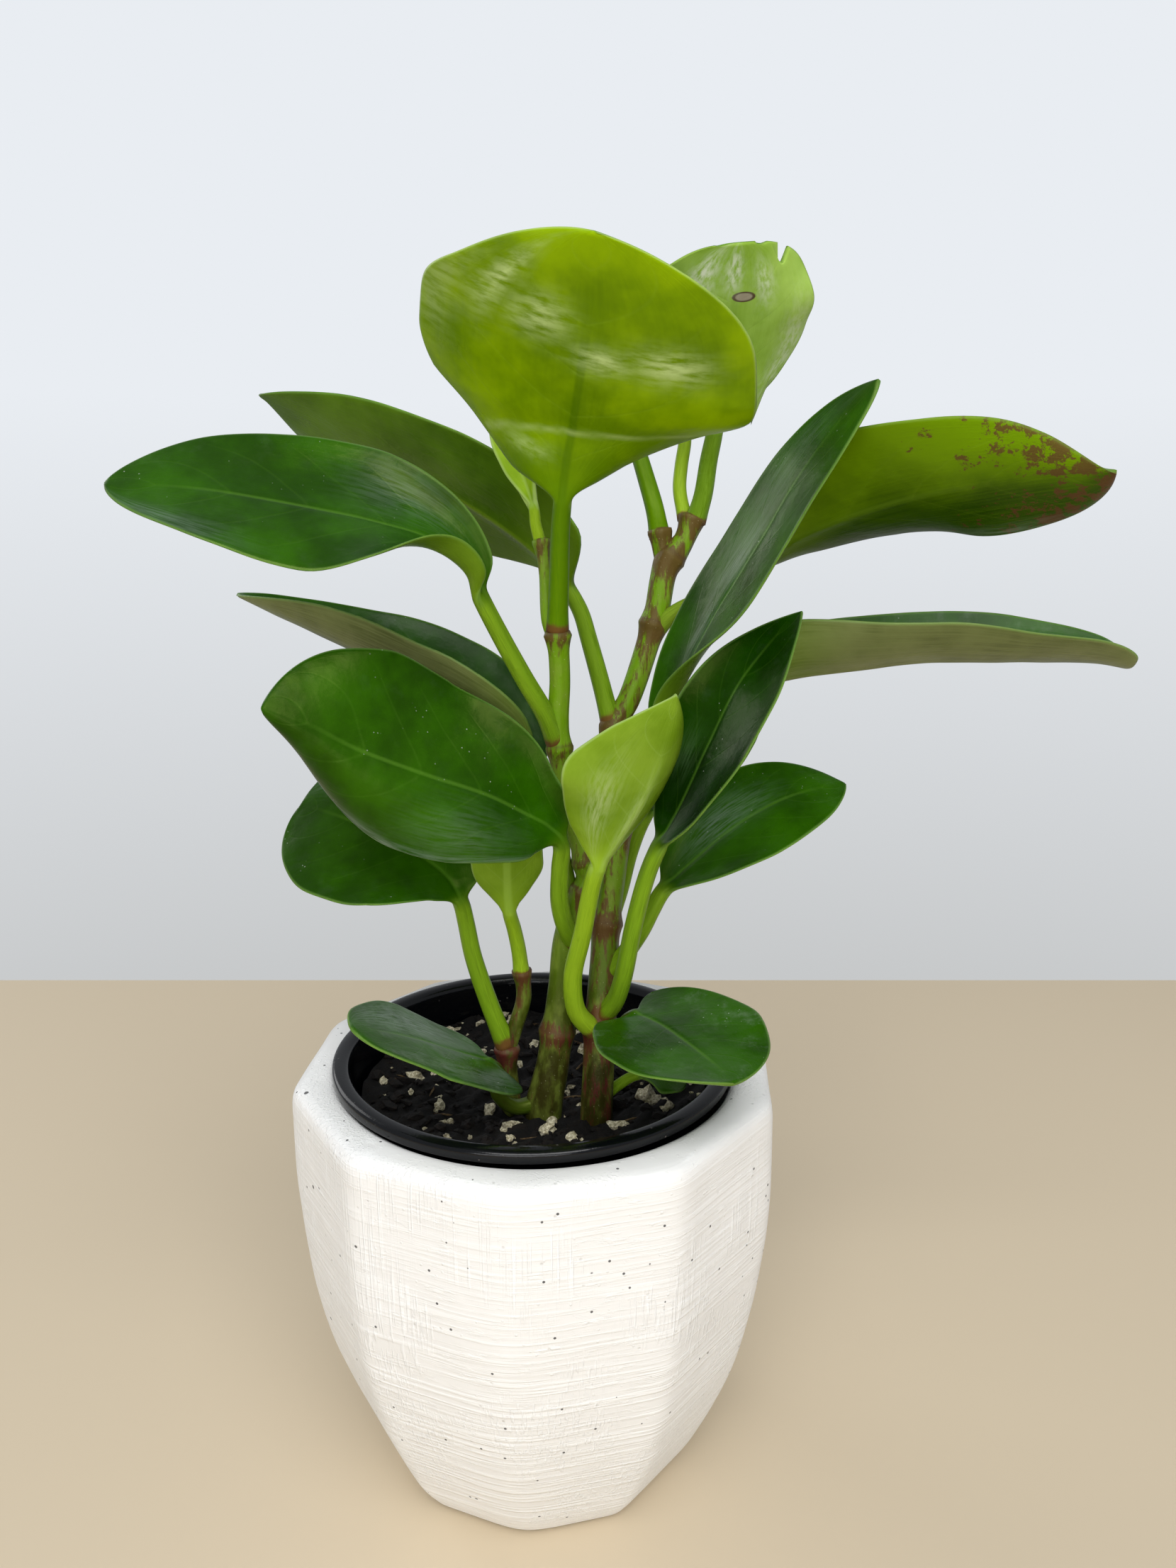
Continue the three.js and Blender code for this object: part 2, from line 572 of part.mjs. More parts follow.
// One ring of a leaf: half of it runs over the upper face and half back under the lower one
function leafRing(leaf, place, frame, across) {
  const { centre, normal, side, tangent } = frame;
  const t = Math.max(place, 0);
  const shape = [leaf.widest, leaf.flare, leaf.tip];
  const spread = bladeOutline(t, shape);
  const leftSpread = bladeOutline(t, leaf.leftShape ?? shape) * (leaf.leftReach ?? 1);
  const formed = place < 0 ? 0 : smooth(t / BLADE_FORM_LENGTH);
  const [footRadius, topRadius] = leaf.petioleRadii ?? PETIOLE_RADII;
  const petioleRadius = mix(footRadius, topRadius, Math.min(1, 1 + place));
  const baseHalf = petioleRadius * (1 - formed);
  const upper = [];
  const lower = [];
  for (let i = 0; i < across; i += 1) {
    const q = 1 - (2 * i) / (across - 1);
    const cup = q > 0 && leaf.leftCup ? leaf.leftCup : leaf.cup;
    const turnUp = toRadians(alongTriple(cup, t)) || LEAST_BEND;
    const bend = turnUp * Math.abs(q);
    const halfWidth = (leaf.width / 2) * (q > 0 ? leftSpread : spread) + baseHalf;
    const [leftLobe, rightLobe] = leaf.lobes ?? [0, 0];
    const lobeShape = Math.abs(q) ** 1.2 * (1 - Math.abs(q) ** 5 / 2) * (1 - smooth(t / LOBE_LENGTH));
    const back = (q > 0 ? leftLobe : rightLobe) * lobeShape * formed;
    const reach = (halfWidth * Math.sin(bend)) / turnUp;
    const lift = (halfWidth * (1 - Math.cos(bend))) / turnUp;
    const thick = mix(BLADE_THICK, MARGIN_THICK, q * q) / 2;
    const angle = mix(0.12, 0.88, i / (across - 1)) * Math.PI;
    [upper, lower].forEach((half, face) => {
      const sign = face === 0 ? 1 : -1;
      const flatX = Math.sign(q) * (reach - sign * thick * Math.sin(bend));
      const flatY = lift + sign * thick * Math.cos(bend);
      const roundX = petioleRadius * Math.cos(angle);
      const roundY = sign * petioleRadius * Math.sin(angle);
      half.push(centre.clone()
        .addScaledVector(side, mix(roundX, flatX, formed))
        .addScaledVector(normal, mix(roundY, flatY, formed))
        .addScaledVector(tangent, -back));
    });
  }
  return [...upper, ...lower.reverse()];
}

function makeLeaf(leaf) {
  const route = [...leaf.petiole, ...leaf.midrib].map(toVector);
  const curve = new THREE.CatmullRomCurve3(route, false, 'centripetal');
  const perSpan = 40;
  const lengths = curve.getLengths(perSpan * (route.length - 1));
  const whole = lengths.at(-1);
  const petioleLength = lengths[perSpan * leaf.petiole.length];
  const petioleSteps = Math.max(2, Math.round(petioleLength / PETIOLE_STEP));
  const places = Array.from({ length: petioleSteps }, (_, k) => k / petioleSteps - 1);
  places.push(0, ...BLADE_STATIONS);
  const across = leaf.width > WIDE_LEAF ? POINTS_ACROSS_WIDE : POINTS_ACROSS_NARROW;
  const [faceBase, faceTip] = leaf.face.map((face) => toVector(face).normalize());
  const rings = places.map((place) => {
    const length = place < 0 ? petioleLength * (1 + place) : mix(petioleLength, whole, place);
    const centre = curve.getPointAt(length / whole);
    const tangent = curve.getTangentAt(length / whole);
    const normal = faceBase.clone().lerp(faceTip, Math.max(place, 0));
    normal.addScaledVector(tangent, -normal.dot(tangent)).normalize();
    const side = new THREE.Vector3().crossVectors(normal, tangent);
    return leafRing(leaf, place, { centre, normal, side, tangent }, across);
  });
  return toSolid(loft(rings, true));
}

// Potting mix

function soilHeight(x, y) {
  const fromMiddle = Math.hypot(x, y) / BODY_TOP_RADIUS;
  const lumps = Math.sin(x * 0.41 + 1.3) * Math.cos(y * 0.37) + Math.sin(x * 0.93 - y * 0.71);
  return SOIL_LEVEL - SOIL_DISH * (1 - fromMiddle ** 2) + SOIL_LUMP * lumps;
}

function makeSoil() {
  const clear = NURSERY_WALL + SEAT_GAP + 0.1;
  const floor = BODY_FOOT_HEIGHT + NURSERY_WALL + SEAT_GAP;
  const footRadius = bodyRadius(floor) - clear;
  const edgeRadius = bodyRadius(SOIL_LEVEL - 4) - clear;
  const ring = (radius, height) => Array.from({ length: SOIL_SEGMENTS }, (_, k) => {
    const angle = (2 * Math.PI * k) / SOIL_SEGMENTS;
    const x = radius * Math.cos(angle);
    const y = radius * Math.sin(angle);
    return new THREE.Vector3(x + NURSERY_OFFSET_X, y, height ?? soilHeight(x, y));
  });
  const rings = [ring(footRadius, floor), ring(edgeRadius)];
  SOIL_RINGS.forEach((share) => rings.push(ring(edgeRadius * share)));
  return toSolid(loft(rings));
}

// Repeatable random numbers from 0 to 1
function makeRandom(seed) {
  let state = seed;
  return () => {
    state = (state * 1664525 + 1013904223) % 4294967296;
    return state / 4294967296;
  };
}

// Pale grains half sunk in the soil, kept off the stems and the pot wall
function addGrains(soil) {
  const random = makeRandom(GRAIN_SEED);
  const feet = Object.values(STEMS).map(([main]) => main.route[1]);
  let whole = soil;
  let placed = 0;
  while (placed < GRAIN_COUNT) {
    const angle = 2 * Math.PI * random();
    const distance = (BODY_TOP_RADIUS - 7) * Math.sqrt(random());
    const x = distance * Math.cos(angle);
    const y = distance * Math.sin(angle);
    const size = mix(GRAIN_RADIUS_MIN, GRAIN_RADIUS_MAX, random() ** 2);
    const turn = random() * Math.PI;
    if (feet.every(([footX, footY]) => Math.hypot(x + NURSERY_OFFSET_X - footX, y - footY) > 8)) {
      const grain = new THREE.IcosahedronGeometry(size, 0);
      grain.scale(1, 0.8, 0.75);
      grain.rotateZ(turn);
      grain.translate(x + NURSERY_OFFSET_X, y, soilHeight(x, y) + 0.15 * size);
      whole = whole.add(toSolid(grain));
      placed += 1;
    }
  }
  return largestPiece(whole);
}

// The whole plant in its pots

const plant = new THREE.Group();

function place(name, solid, look) {
  const mesh = new THREE.Mesh(toGeometry(solid), new THREE.MeshStandardMaterial(look));
  mesh.name = name;
  plant.add(mesh);
}

const stemRoom = Object.fromEntries(
  Object.entries(STEMS).map(([name, branches]) => [name, makeStem(branches, SEAT_GAP)]),
);

place('cover_pot', makeCoverPot(), COLOURS.coverPot);
place('nursery_pot', makeNurseryPot(), COLOURS.nurseryPot);
const soilWithHoles = Object.values(stemRoom).reduce((soil, stem) => soil.subtract(stem), makeSoil());
place('soil', addGrains(soilWithHoles), COLOURS.soil);
Object.entries(STEMS).forEach(([name, branches]) => place(name, makeStem(branches), COLOURS.stem));
LEAVES.forEach((leaf) => {
  const solid = largestPiece(makeLeaf(leaf).subtract(stemRoom[leaf.stem]));
  place(leaf.name, solid, leaf.pale ? COLOURS.leafPale : COLOURS.leafDark);
});

export default plant;
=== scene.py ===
"""Potted peperomia in a black nursery pot, which hangs by its lip in a white cover pot."""

import logging
import math
import random
from collections.abc import Callable, Iterator
from dataclasses import dataclass
from enum import Enum

import bmesh
import bpy
import numpy as np
from mathutils import Matrix, Vector, noise


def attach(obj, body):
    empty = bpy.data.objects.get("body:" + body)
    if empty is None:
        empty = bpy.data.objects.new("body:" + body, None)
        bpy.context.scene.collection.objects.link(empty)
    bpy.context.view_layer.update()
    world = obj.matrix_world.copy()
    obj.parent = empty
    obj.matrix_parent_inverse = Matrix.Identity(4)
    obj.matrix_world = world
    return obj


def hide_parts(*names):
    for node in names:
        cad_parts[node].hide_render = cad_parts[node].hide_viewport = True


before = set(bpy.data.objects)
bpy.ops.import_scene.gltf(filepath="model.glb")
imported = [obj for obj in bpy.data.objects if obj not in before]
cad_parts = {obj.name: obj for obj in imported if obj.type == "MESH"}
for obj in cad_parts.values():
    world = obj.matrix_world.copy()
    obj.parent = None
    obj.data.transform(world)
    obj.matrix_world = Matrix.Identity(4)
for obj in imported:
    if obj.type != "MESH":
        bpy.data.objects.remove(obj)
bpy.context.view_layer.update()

MM = 0.001
WELD = 2e-6
FULL_TURN = 2 * math.pi
log = logging.getLogger("peperomia")

Pair = tuple[float, float]
Triple = tuple[float, float, float]
Point = Triple
Colour = tuple[float, float, float, float]
Marks = dict[str, np.ndarray]
Socket = bpy.types.NodeSocket


def paint(code: str) -> Colour:
    """Linear colour of a six-digit paint code.

    Args:
        code: The colour as screen values, such as "2c5a16".

    Returns:
        Red, green, blue and alpha as Blender's shaders take them.
    """
    shown = [int(code[k : k + 2], 16) / 255 for k in (0, 2, 4)]
    linear = [c / 12.92 if c <= 0.04045 else ((c + 0.055) / 1.055) ** 2.4 for c in shown]
    return (linear[0], linear[1], linear[2], 1.0)


def smooth(share: np.ndarray) -> np.ndarray:
    """Soft step from 0 to 1 of a share, which is held between 0 and 1 first."""
    held = np.clip(share, 0.0, 1.0)
    return held * held * (3.0 - 2.0 * held)


def mix(first: np.ndarray, second: np.ndarray, share: np.ndarray) -> np.ndarray:
    """Value between first and second at a share."""
    return first + (second - first) * share


def bell(off: np.ndarray, width: float) -> np.ndarray:
    """Soft bump that is 1 where off is 0 and falls away over a width."""
    return np.exp(-((off / width) ** 2))


def unit(vectors: np.ndarray) -> np.ndarray:
    """Vectors of length 1, row by row."""
    return vectors / np.linalg.norm(vectors, axis=1, keepdims=True)


def ripple(points: np.ndarray, size: float, seed: float) -> np.ndarray:
    """Soft noise from -1 to 1 at rows of points in mm, with lumps of a size in mm."""
    return np.array([noise.noise(Vector(p) / size + Vector((seed, 0.0, 0.0))) for p in points])


def ripples(points: np.ndarray, layers: tuple[Triple, ...]) -> np.ndarray:
    """Sum of ripples, each with a size in mm, a seed and a depth in mm."""
    return sum(ripple(points, size, seed) * depth for size, seed, depth in layers)


def round_axis(reach: np.ndarray, angle: np.ndarray, height: np.ndarray) -> np.ndarray:
    """Rows of points at a reach from the axis, an angle from the front and a height."""
    return np.stack([reach * np.sin(angle), -reach * np.cos(angle), height], axis=1)


def steady_draws(seed: int) -> Iterator[float]:
    """Same row of numbers from 0 to 1 as the one that set the model's own grains.

    Args:
        seed: Where the row starts.

    Yields:
        The next number.
    """
    state, size = seed, 2**32
    while True:
        state = (state * 1664525 + 1013904223) % size
        yield state / size


@dataclass(frozen=True)
class Route:
    """Smooth curve through points in mm."""

    points: tuple[Point, ...]

    def at(self, share: np.ndarray) -> np.ndarray:
        """Points on the curve.

        Args:
            share: Shares from 0 to 1, where each span between two points takes an equal share.

        Returns:
            Rows of points in mm.
        """
        given = np.array(self.points, float)
        spans = len(given) - 1
        every = np.vstack([2 * given[0] - given[1], given, 2 * given[-1] - given[-2]])
        span = np.clip((share * spans).astype(int), 0, spans - 1)
        step = (share * spans - span)[:, None]
        a, b, c, d = (every[span + k] for k in range(4))
        ab, bc, cd = (
            np.sqrt(np.linalg.norm(end - start, axis=1, keepdims=True))
            for start, end in ((a, b), (b, c), (c, d))
        )
        leave = ((b - a) / ab - (c - a) / (ab + bc) + (c - b) / bc) * bc
        arrive = ((c - b) / bc - (d - b) / (bc + cd) + (d - c) / cd) * bc
        square = -3 * b + 3 * c - 2 * leave - arrive
        cube = 2 * b - 2 * c + leave + arrive
        return b + leave * step + square * step**2 + cube * step**3

    def heading(self, share: np.ndarray, reach: float = 2e-4) -> np.ndarray:
        """Direction of the curve at shares, as rows of length 1."""
        ahead, behind = np.clip(share + reach, 0.0, 1.0), np.clip(share - reach, 0.0, 1.0)
        return unit(self.at(ahead) - self.at(behind))

    def lengths(self, parts: int = 2400) -> tuple[np.ndarray, np.ndarray]:
        """Shares along the curve and the length in mm up to each."""
        share = np.linspace(0.0, 1.0, parts + 1)
        steps = np.linalg.norm(np.diff(self.at(share), axis=0), axis=1)
        return share, np.concatenate([[0.0], np.cumsum(steps)])


def wrap(
    name: str,
    around: int,
    rows: int,
    skin: Callable[[np.ndarray, np.ndarray], tuple[np.ndarray, Marks]],
) -> bpy.types.Object:
    """Closed skin from a flat grid that is wrapped round and closed over both ends.

    Args:
        name: The new piece's name.
        around: Faces round the skin.
        rows: Rows of faces from end to end.
        skin: Takes the share round and the share along of each point, and gives its place in mm
            and named marks for the finish to read.

    Returns:
        The new object, with a UV map and one attribute for each mark.
    """
    shell = bmesh.new()
    shell.loops.layers.uv.new("UVMap")
    bmesh.ops.create_grid(shell, x_segments=around, y_segments=rows, size=1.0, calc_uvs=True)
    flat = np.array([v.co[:2] for v in shell.verts])
    places, marks = skin((flat[:, 0] + 1) / 2, (flat[:, 1] + 1) / 2)
    for vert, spot in zip(shell.verts, places * MM, strict=True):
        vert.co = spot
    for mark, values in marks.items():
        layer = shell.verts.layers.float.new(mark)
        for vert, value in zip(shell.verts, values, strict=True):
            vert[layer] = value
    bmesh.ops.remove_doubles(shell, verts=shell.verts, dist=WELD)
    rims = [e for e in shell.edges if e.is_boundary]
    if rims:
        caps = bmesh.ops.holes_fill(shell, edges=rims, sides=0)["faces"]
        bmesh.ops.poke(shell, faces=caps)
    return as_piece(name, shell)


def new_object(name: str, shell: bmesh.types.BMesh) -> bpy.types.Object:
    """Object in the scene from a mesh.

    Args:
        name: Name of the object and its mesh.
        shell: The finished mesh, which is freed here.

    Returns:
        The new object.
    """
    mesh = bpy.data.meshes.new(name)
    shell.to_mesh(mesh)
    shell.free()
    made = bpy.data.objects.new(name, mesh)
    bpy.context.scene.collection.objects.link(made)
    return made


def as_piece(name: str, shell: bmesh.types.BMesh, smooth_faces: bool = True) -> bpy.types.Object:
    """Turns a finished shell into an object that rides with the plant.

    Args:
        name: The new piece's name.
        shell: The finished mesh, which is freed here.
        smooth_faces: Whether faces shade smoothly into each other.

    Returns:
        The new object.
    """
    bmesh.ops.recalc_face_normals(shell, faces=shell.faces)
    for face in shell.faces:
        face.smooth = smooth_faces
    piece = new_object(name, shell)
    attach(piece, "root")
    log.info("%s: %d faces", name, len(piece.data.polygons))
    return piece


class Shading:
    """Node tree of one finish, with short calls for the nodes that it needs."""

    def __init__(self, holder: bpy.types.Material | bpy.types.World) -> None:
        """Empties the node tree of a new material or world."""
        holder.use_nodes = True
        self.holder = holder
        self.tree = holder.node_tree
        self.tree.nodes.clear()

    def add(self, kind: str, inputs: dict, **settings: object) -> bpy.types.Node:
        """Adds a node.

        Args:
            kind: The node's type name without "ShaderNode".
            inputs: A socket to link, a paint code or a value for each input's name or number.
            settings: The node's own options.

        Returns:
            The new node.
        """
        made = self.tree.nodes.new("ShaderNode" + kind)
        for option, value in settings.items():
            setattr(made, option, value)
        for key, value in inputs.items():
            if isinstance(value, Socket):
                self.tree.links.new(value, made.inputs[key])
            else:
                made.inputs[key].default_value = paint(value) if isinstance(value, str) else value
        return made

    def place(self) -> Socket:
        """Point on the piece in its own metres."""
        return self.add("TexCoord", {}).outputs["Object"]

    def mark(self, name: str) -> Socket:
        """Value of one of the piece's marks."""
        return self.add("Attribute", {}, attribute_name=name).outputs["Fac"]

    def calc(self, kind: str, *values: object, clamp: bool = False) -> Socket:
        """Result of a Math node of this kind on one or two values."""
        return self.add("Math", dict(enumerate(values)), operation=kind, use_clamp=clamp).outputs[0]

    def times(self, first: object, second: object) -> Socket:
        """Product of two values."""
        return self.calc("MULTIPLY", first, second)

    def plus(self, first: object, second: object) -> Socket:
        """Sum of two values."""
        return self.calc("ADD", first, second)

    def step(
        self, value: Socket, start: float, end: float, low: float = 0.0, high: float = 1.0
    ) -> Socket:
        """Soft step from low at start to high at end."""
        inputs = {"Value": value, "From Min": start, "From Max": end, "To Min": low, "To Max": high}
        return self.add("MapRange", inputs, interpolation_type="SMOOTHSTEP").outputs[0]

    def blend(self, share: object, first: object, second: object) -> Socket:
        """Colour between first and second at a share."""
        inputs = {0: share, 6: first, 7: second}
        return self.add("Mix", inputs, data_type="RGBA", blend_type="MIX").outputs[2]

    def noise(
        self, place: Socket, scale: float, detail: float = 3.0, rough: float = 0.5
    ) -> Socket:
        """Soft noise from 0 to 1."""
        inputs = {"Vector": place, "Scale": scale, "Detail": detail, "Roughness": rough}
        return self.add("TexNoise", inputs).outputs[0]

    def dots(self, place: Socket, scale: float, reach: float, sharp: float) -> Socket:
        """Scattered dots: 0 past the reach of each middle and 1 within the sharp distance."""
        cells = self.add("TexVoronoi", {"Vector": place, "Scale": scale}, feature="F1")
        return self.step(cells.outputs["Distance"], reach, sharp)

    def stretch(self, place: Socket, scale: Triple, move: Triple = (0, 0, 0)) -> Socket:
        """Point scaled and moved along each axis."""
        inputs = {"Vector": place, "Scale": scale, "Location": move}
        return self.add("Mapping", inputs).outputs[0]

    def join(self, x: object, y: object) -> Socket:
        """Flat point from two values."""
        return self.add("CombineXYZ", {0: x, 1: y, 2: 0.0}).outputs[0]

    def relief(
        self, height: Socket, depth: float, strength: float, under: Socket | None = None
    ) -> Socket:
        """Surface direction bent by a height pattern.

        Args:
            height: The pattern.
            depth: Its depth in mm.
            strength: How much of it shows.
            under: Another relief below it.

        Returns:
            The direction, for a shader's normal.
        """
        inputs = {"Height": height, "Distance": depth * MM, "Strength": strength}
        if under is not None:
            inputs["Normal"] = under
        return self.add("Bump", inputs).outputs[0]

    def surface(self, colour: object, rough: object, **details: object) -> Socket:
        """Principled shader, with other inputs named as in Blender and underscores for spaces."""
        inputs = {key.replace("_", " "): value for key, value in details.items()}
        inputs |= {"Base Color": colour, "Roughness": rough}
        return self.add("BsdfPrincipled", inputs).outputs[0]

    def finish(self, shader: Socket, output: str = "Material") -> bpy.types.ID:
        """Links the last shader to the output and returns the material or world."""
        self.add("Output" + output, {"Surface": shader})
        return self.holder


class LeafPatterns(Shading):
    """Marks and noises over a leaf's skin, which its colours and its relief share."""

    def __init__(self, name: str, vein_pairs: float = 5.5) -> None:
        """Starts the leaf's material and draws the patterns.

        Args:
            name: The material's name.
            vein_pairs: Pairs of side veins along the blade.
        """
        super().__init__(bpy.data.materials.new(name))
        self.here = self.place()
        self.edge = self.mark("edge")
        self.along, self.spread = self.mark("along"), self.mark("spread")
        self.across = self.mark("across")
        self.aside = self.calc("ABSOLUTE", self.across)
        self.is_upper = self.step(self.mark("upper"), 0.4, 0.6)
        self.cloud = self.step(self.noise(self.here, 55, 4.0, 0.55), 0.32, 0.68)
        streaked = self.join(self.times(self.spread, 13.0), self.times(self.along, 1.6))
        self.streak = self.noise(streaked, 2.4, 5.0, 0.6)
        self.side_vein = self.side_veins(vein_pairs)

    def side_veins(self, pairs: float) -> Socket:
        """Arcs that bend towards the tip, 1 on a vein and 0 between.

        Args:
            pairs: Pairs of veins along the blade.

        Returns:
            The pattern.
        """
        wide = self.calc("ABSOLUTE", self.spread)
        bend = self.times(self.calc("POWER", wide, 1.25), 0.34)
        wander = self.times(self.noise(self.here, 40, 2.0), 0.06)
        turn = self.plus(self.calc("SUBTRACT", self.along, bend), wander)
        wave = self.calc("ABSOLUTE", self.calc("SINE", self.times(turn, math.pi * pairs)))
        inner = self.times(self.step(wide, 0.95, 0.6), self.step(self.along, 0.02, 0.12))
        return self.times(self.step(wave, 0.16, 0.0), inner)


@dataclass(frozen=True)
class LeafFinish:
    """Waxy leaf skin: darker above, paler and streaked below, on a green petiole."""

    name: str
    deep: str = "163c00"
    light: str = "285800"
    under_deep: str = "42620c"
    under_light: str = "5d7f1c"
    vein: str = "5f8f2c"
    petiole: str = "7a9e1e"
    foot: str = "6a3c26"
    rim: str = "6f9446"
    keel: str = "7a9e1e"
    # Colour of the painted highlights.
    painted_highlight: str = "93a59a"
    tint: str = "f0ff8c"
    dust: str = "b3beb0"
    fleck: str = "c4ccc0"
    blotch: str = "5c3626"
    scar_rim: str = "5b4a38"
    scar_middle: str = "a89c8a"
    bloom: float = 0.02
    veins: float = 0.05
    streaks: float = 0.4
    glow: float = 0.05
    gloss: float = 0.27
    shine: float = 0.22
    # Scales across and along the blade of the streaks in the painted highlights.
    grain: Pair = (26.0, 9.0)
    spots: bool = False
    scar: bool = False

    def upper_colour(self, s: LeafPatterns) -> Socket:
        """Colour of the upper face, with its pale midrib, faint side veins, dust and flecks.

        Args:
            s: The leaf's patterns.

        Returns:
            The colour.
        """
        fade = s.times(s.step(s.along, 0.97, 0.6), s.step(s.along, -0.02, 0.05))
        midrib = s.times(s.step(s.aside, 0.75, 0.1), fade)
        top = s.blend(s.cloud, self.deep, self.light)
        top = s.blend(s.times(s.side_vein, self.veins), top, self.vein)
        top = s.blend(s.times(midrib, 0.3), top, self.vein)
        dusty = s.step(s.noise(s.here, 160, 6.0, 0.7), 0.5, 0.75)
        dust = s.times(dusty, s.step(s.edge, 16.0, 1.0, 0.25, 1.0))
        top = s.blend(s.times(dust, self.bloom), top, self.dust)
        flecks = s.dots(s.here, 620, 0.13, 0.06)
        rare = s.step(s.noise(s.here, 90, 3.0), 0.56, 0.66)
        return s.blend(s.times(s.times(flecks, rare), 0.5), top, self.fleck)

    def under_colour(self, s: LeafPatterns) -> Socket:
        """Colour of the under face, with its streaks, keel, brown spots and scar, and on the
        spotted leaf painted shade over its left half, which hangs lower.

        Args:
            s: The leaf's patterns.

        Returns:
            The colour.
        """
        cloud = s.cloud
        # On the spotted leaf, painted shade: the left half, which hangs lower, turns to the darker
        # colour.
        if self.spots:
            cloud = s.step(s.plus(s.spread, s.times(cloud, 0.4)), 0.7, -0.6)
        low = s.blend(cloud, self.under_deep, self.under_light)
        low = s.blend(s.step(s.streak, 0.35, 0.7, 0.0, self.streaks), low, self.under_light)
        low = s.blend(s.times(s.side_vein, self.veins), low, self.vein)
        low = s.blend(s.step(s.along, 0.32, 0.0, 0.0, 0.6), low, self.petiole)
        keel = s.times(s.step(s.aside, 1.3, 0.5), s.step(s.along, 0.8, 0.4))
        low = s.blend(s.times(keel, 0.55), low, self.keel)
        if self.spots:
            near_tip = s.times(s.step(s.along, 0.35, 0.9), s.step(s.edge, 26.0, 3.0, 0.3, 1.0))
            blotch = s.plus(s.noise(s.here, 210, 6.0, 0.78), s.times(near_tip, 0.19))
            low = s.blend(s.step(blotch, 0.675, 0.71, 0.0, 0.85), low, self.blotch)
        if self.scar:
            far = self.scar_distance(s)
            low = s.blend(s.step(far, 1.05, 0.9), low, self.scar_rim)
            low = s.blend(s.step(far, 0.8, 0.6), low, self.scar_middle)
        return low

    def scar_distance(
        self, s: LeafPatterns, middle: Pair = (2.0, 0.735), half: Pair = (2.9, 0.027)
    ) -> Socket:
        """Distance from the round scar's middle, where 1 is its rim.

        Args:
            s: The leaf's patterns.
            middle: The scar's distance from the midrib in mm, and its place along the blade.
            half: Its half sizes in the same measures.

        Returns:
            The distance.
        """
        x = s.calc("DIVIDE", s.calc("SUBTRACT", s.across, middle[0]), half[0])
        y = s.calc("DIVIDE", s.calc("SUBTRACT", s.along, middle[1]), half[1])
        return s.calc("SQRT", s.plus(s.times(x, x), s.times(y, y)))

    def stalk_colour(self, s: LeafPatterns) -> Socket:
        """Colour of the petiole, with its fine lines and its brown foot.

        Args:
            s: The leaf's patterns.

        Returns:
            The colour.
        """
        lines = s.noise(s.join(s.times(s.spread, 16.0), s.times(s.along, 2.0)), 3.0, 3.0)
        stalk = s.blend(s.step(lines, 0.35, 0.65, 0.0, 0.5), self.petiole, self.under_deep)
        patchy = s.times(s.noise(s.here, 420, 4.0, 0.7), 0.7)
        foot = s.plus(s.step(s.along, -0.83, -0.99), patchy)
        return s.blend(s.step(foot, 0.75, 1.15, 0.0, 0.9), stalk, self.foot)

    def build(self) -> bpy.types.Material:
        """Makes the material.

        Returns:
            The new material.
        """
        s = LeafPatterns(self.name)
        skin = s.blend(s.is_upper, self.under_colour(s), self.upper_colour(s))
        # Painted highlights: a paler colour where the leaf's highlight patches lie, broken into
        # streaks.
        across_grain, along_grain = self.grain
        grain = s.join(s.times(s.spread, across_grain), s.times(s.along, along_grain))
        highlight_streaks = s.step(s.noise(grain, 1.0, 5.0, 0.6), 0.3, 0.66)
        painted_highlight = s.calc("MULTIPLY", s.mark("painted_highlight"), highlight_streaks, clamp=True)
        skin = s.blend(painted_highlight, skin, self.painted_highlight)
        # Painted highlight along the crease, in the rim colour; then the pale rim along the edge.
        skin = s.blend(s.times(s.mark("crease"), 0.55), skin, self.rim)
        skin = s.blend(s.times(s.step(s.edge, 0.8, 0.1), 0.5), skin, self.rim)
        colour = s.blend(s.step(s.along, -0.06, 0.07), self.stalk_colour(s), skin)

        fine = s.times(s.noise(s.here, 1500, 2.0), 0.25)
        height = s.plus(fine, s.times(s.side_vein, -0.2))
        height = s.plus(height, s.times(s.streak, s.step(s.is_upper, 0.0, 1.0, 0.8, 0.3)))
        bumps = s.relief(height, 0.14, 0.7)
        soft = s.relief(s.noise(s.here, 90, 3.0, 0.5), 0.7, 0.8, bumps)
        rough = s.plus(s.times(s.noise(s.here, 75, 4.0, 0.6), 0.26), self.gloss - 0.1)
        body = s.surface(
            colour, rough, Normal=soft, Specular_IOR_Level=self.shine, Specular_Tint=self.tint
        )
        through = s.add("BsdfTranslucent", {"Color": colour, "Normal": soft}).outputs[0]
        return s.finish(s.add("MixShader", {0: self.glow, 1: body, 2: through}).outputs[0])


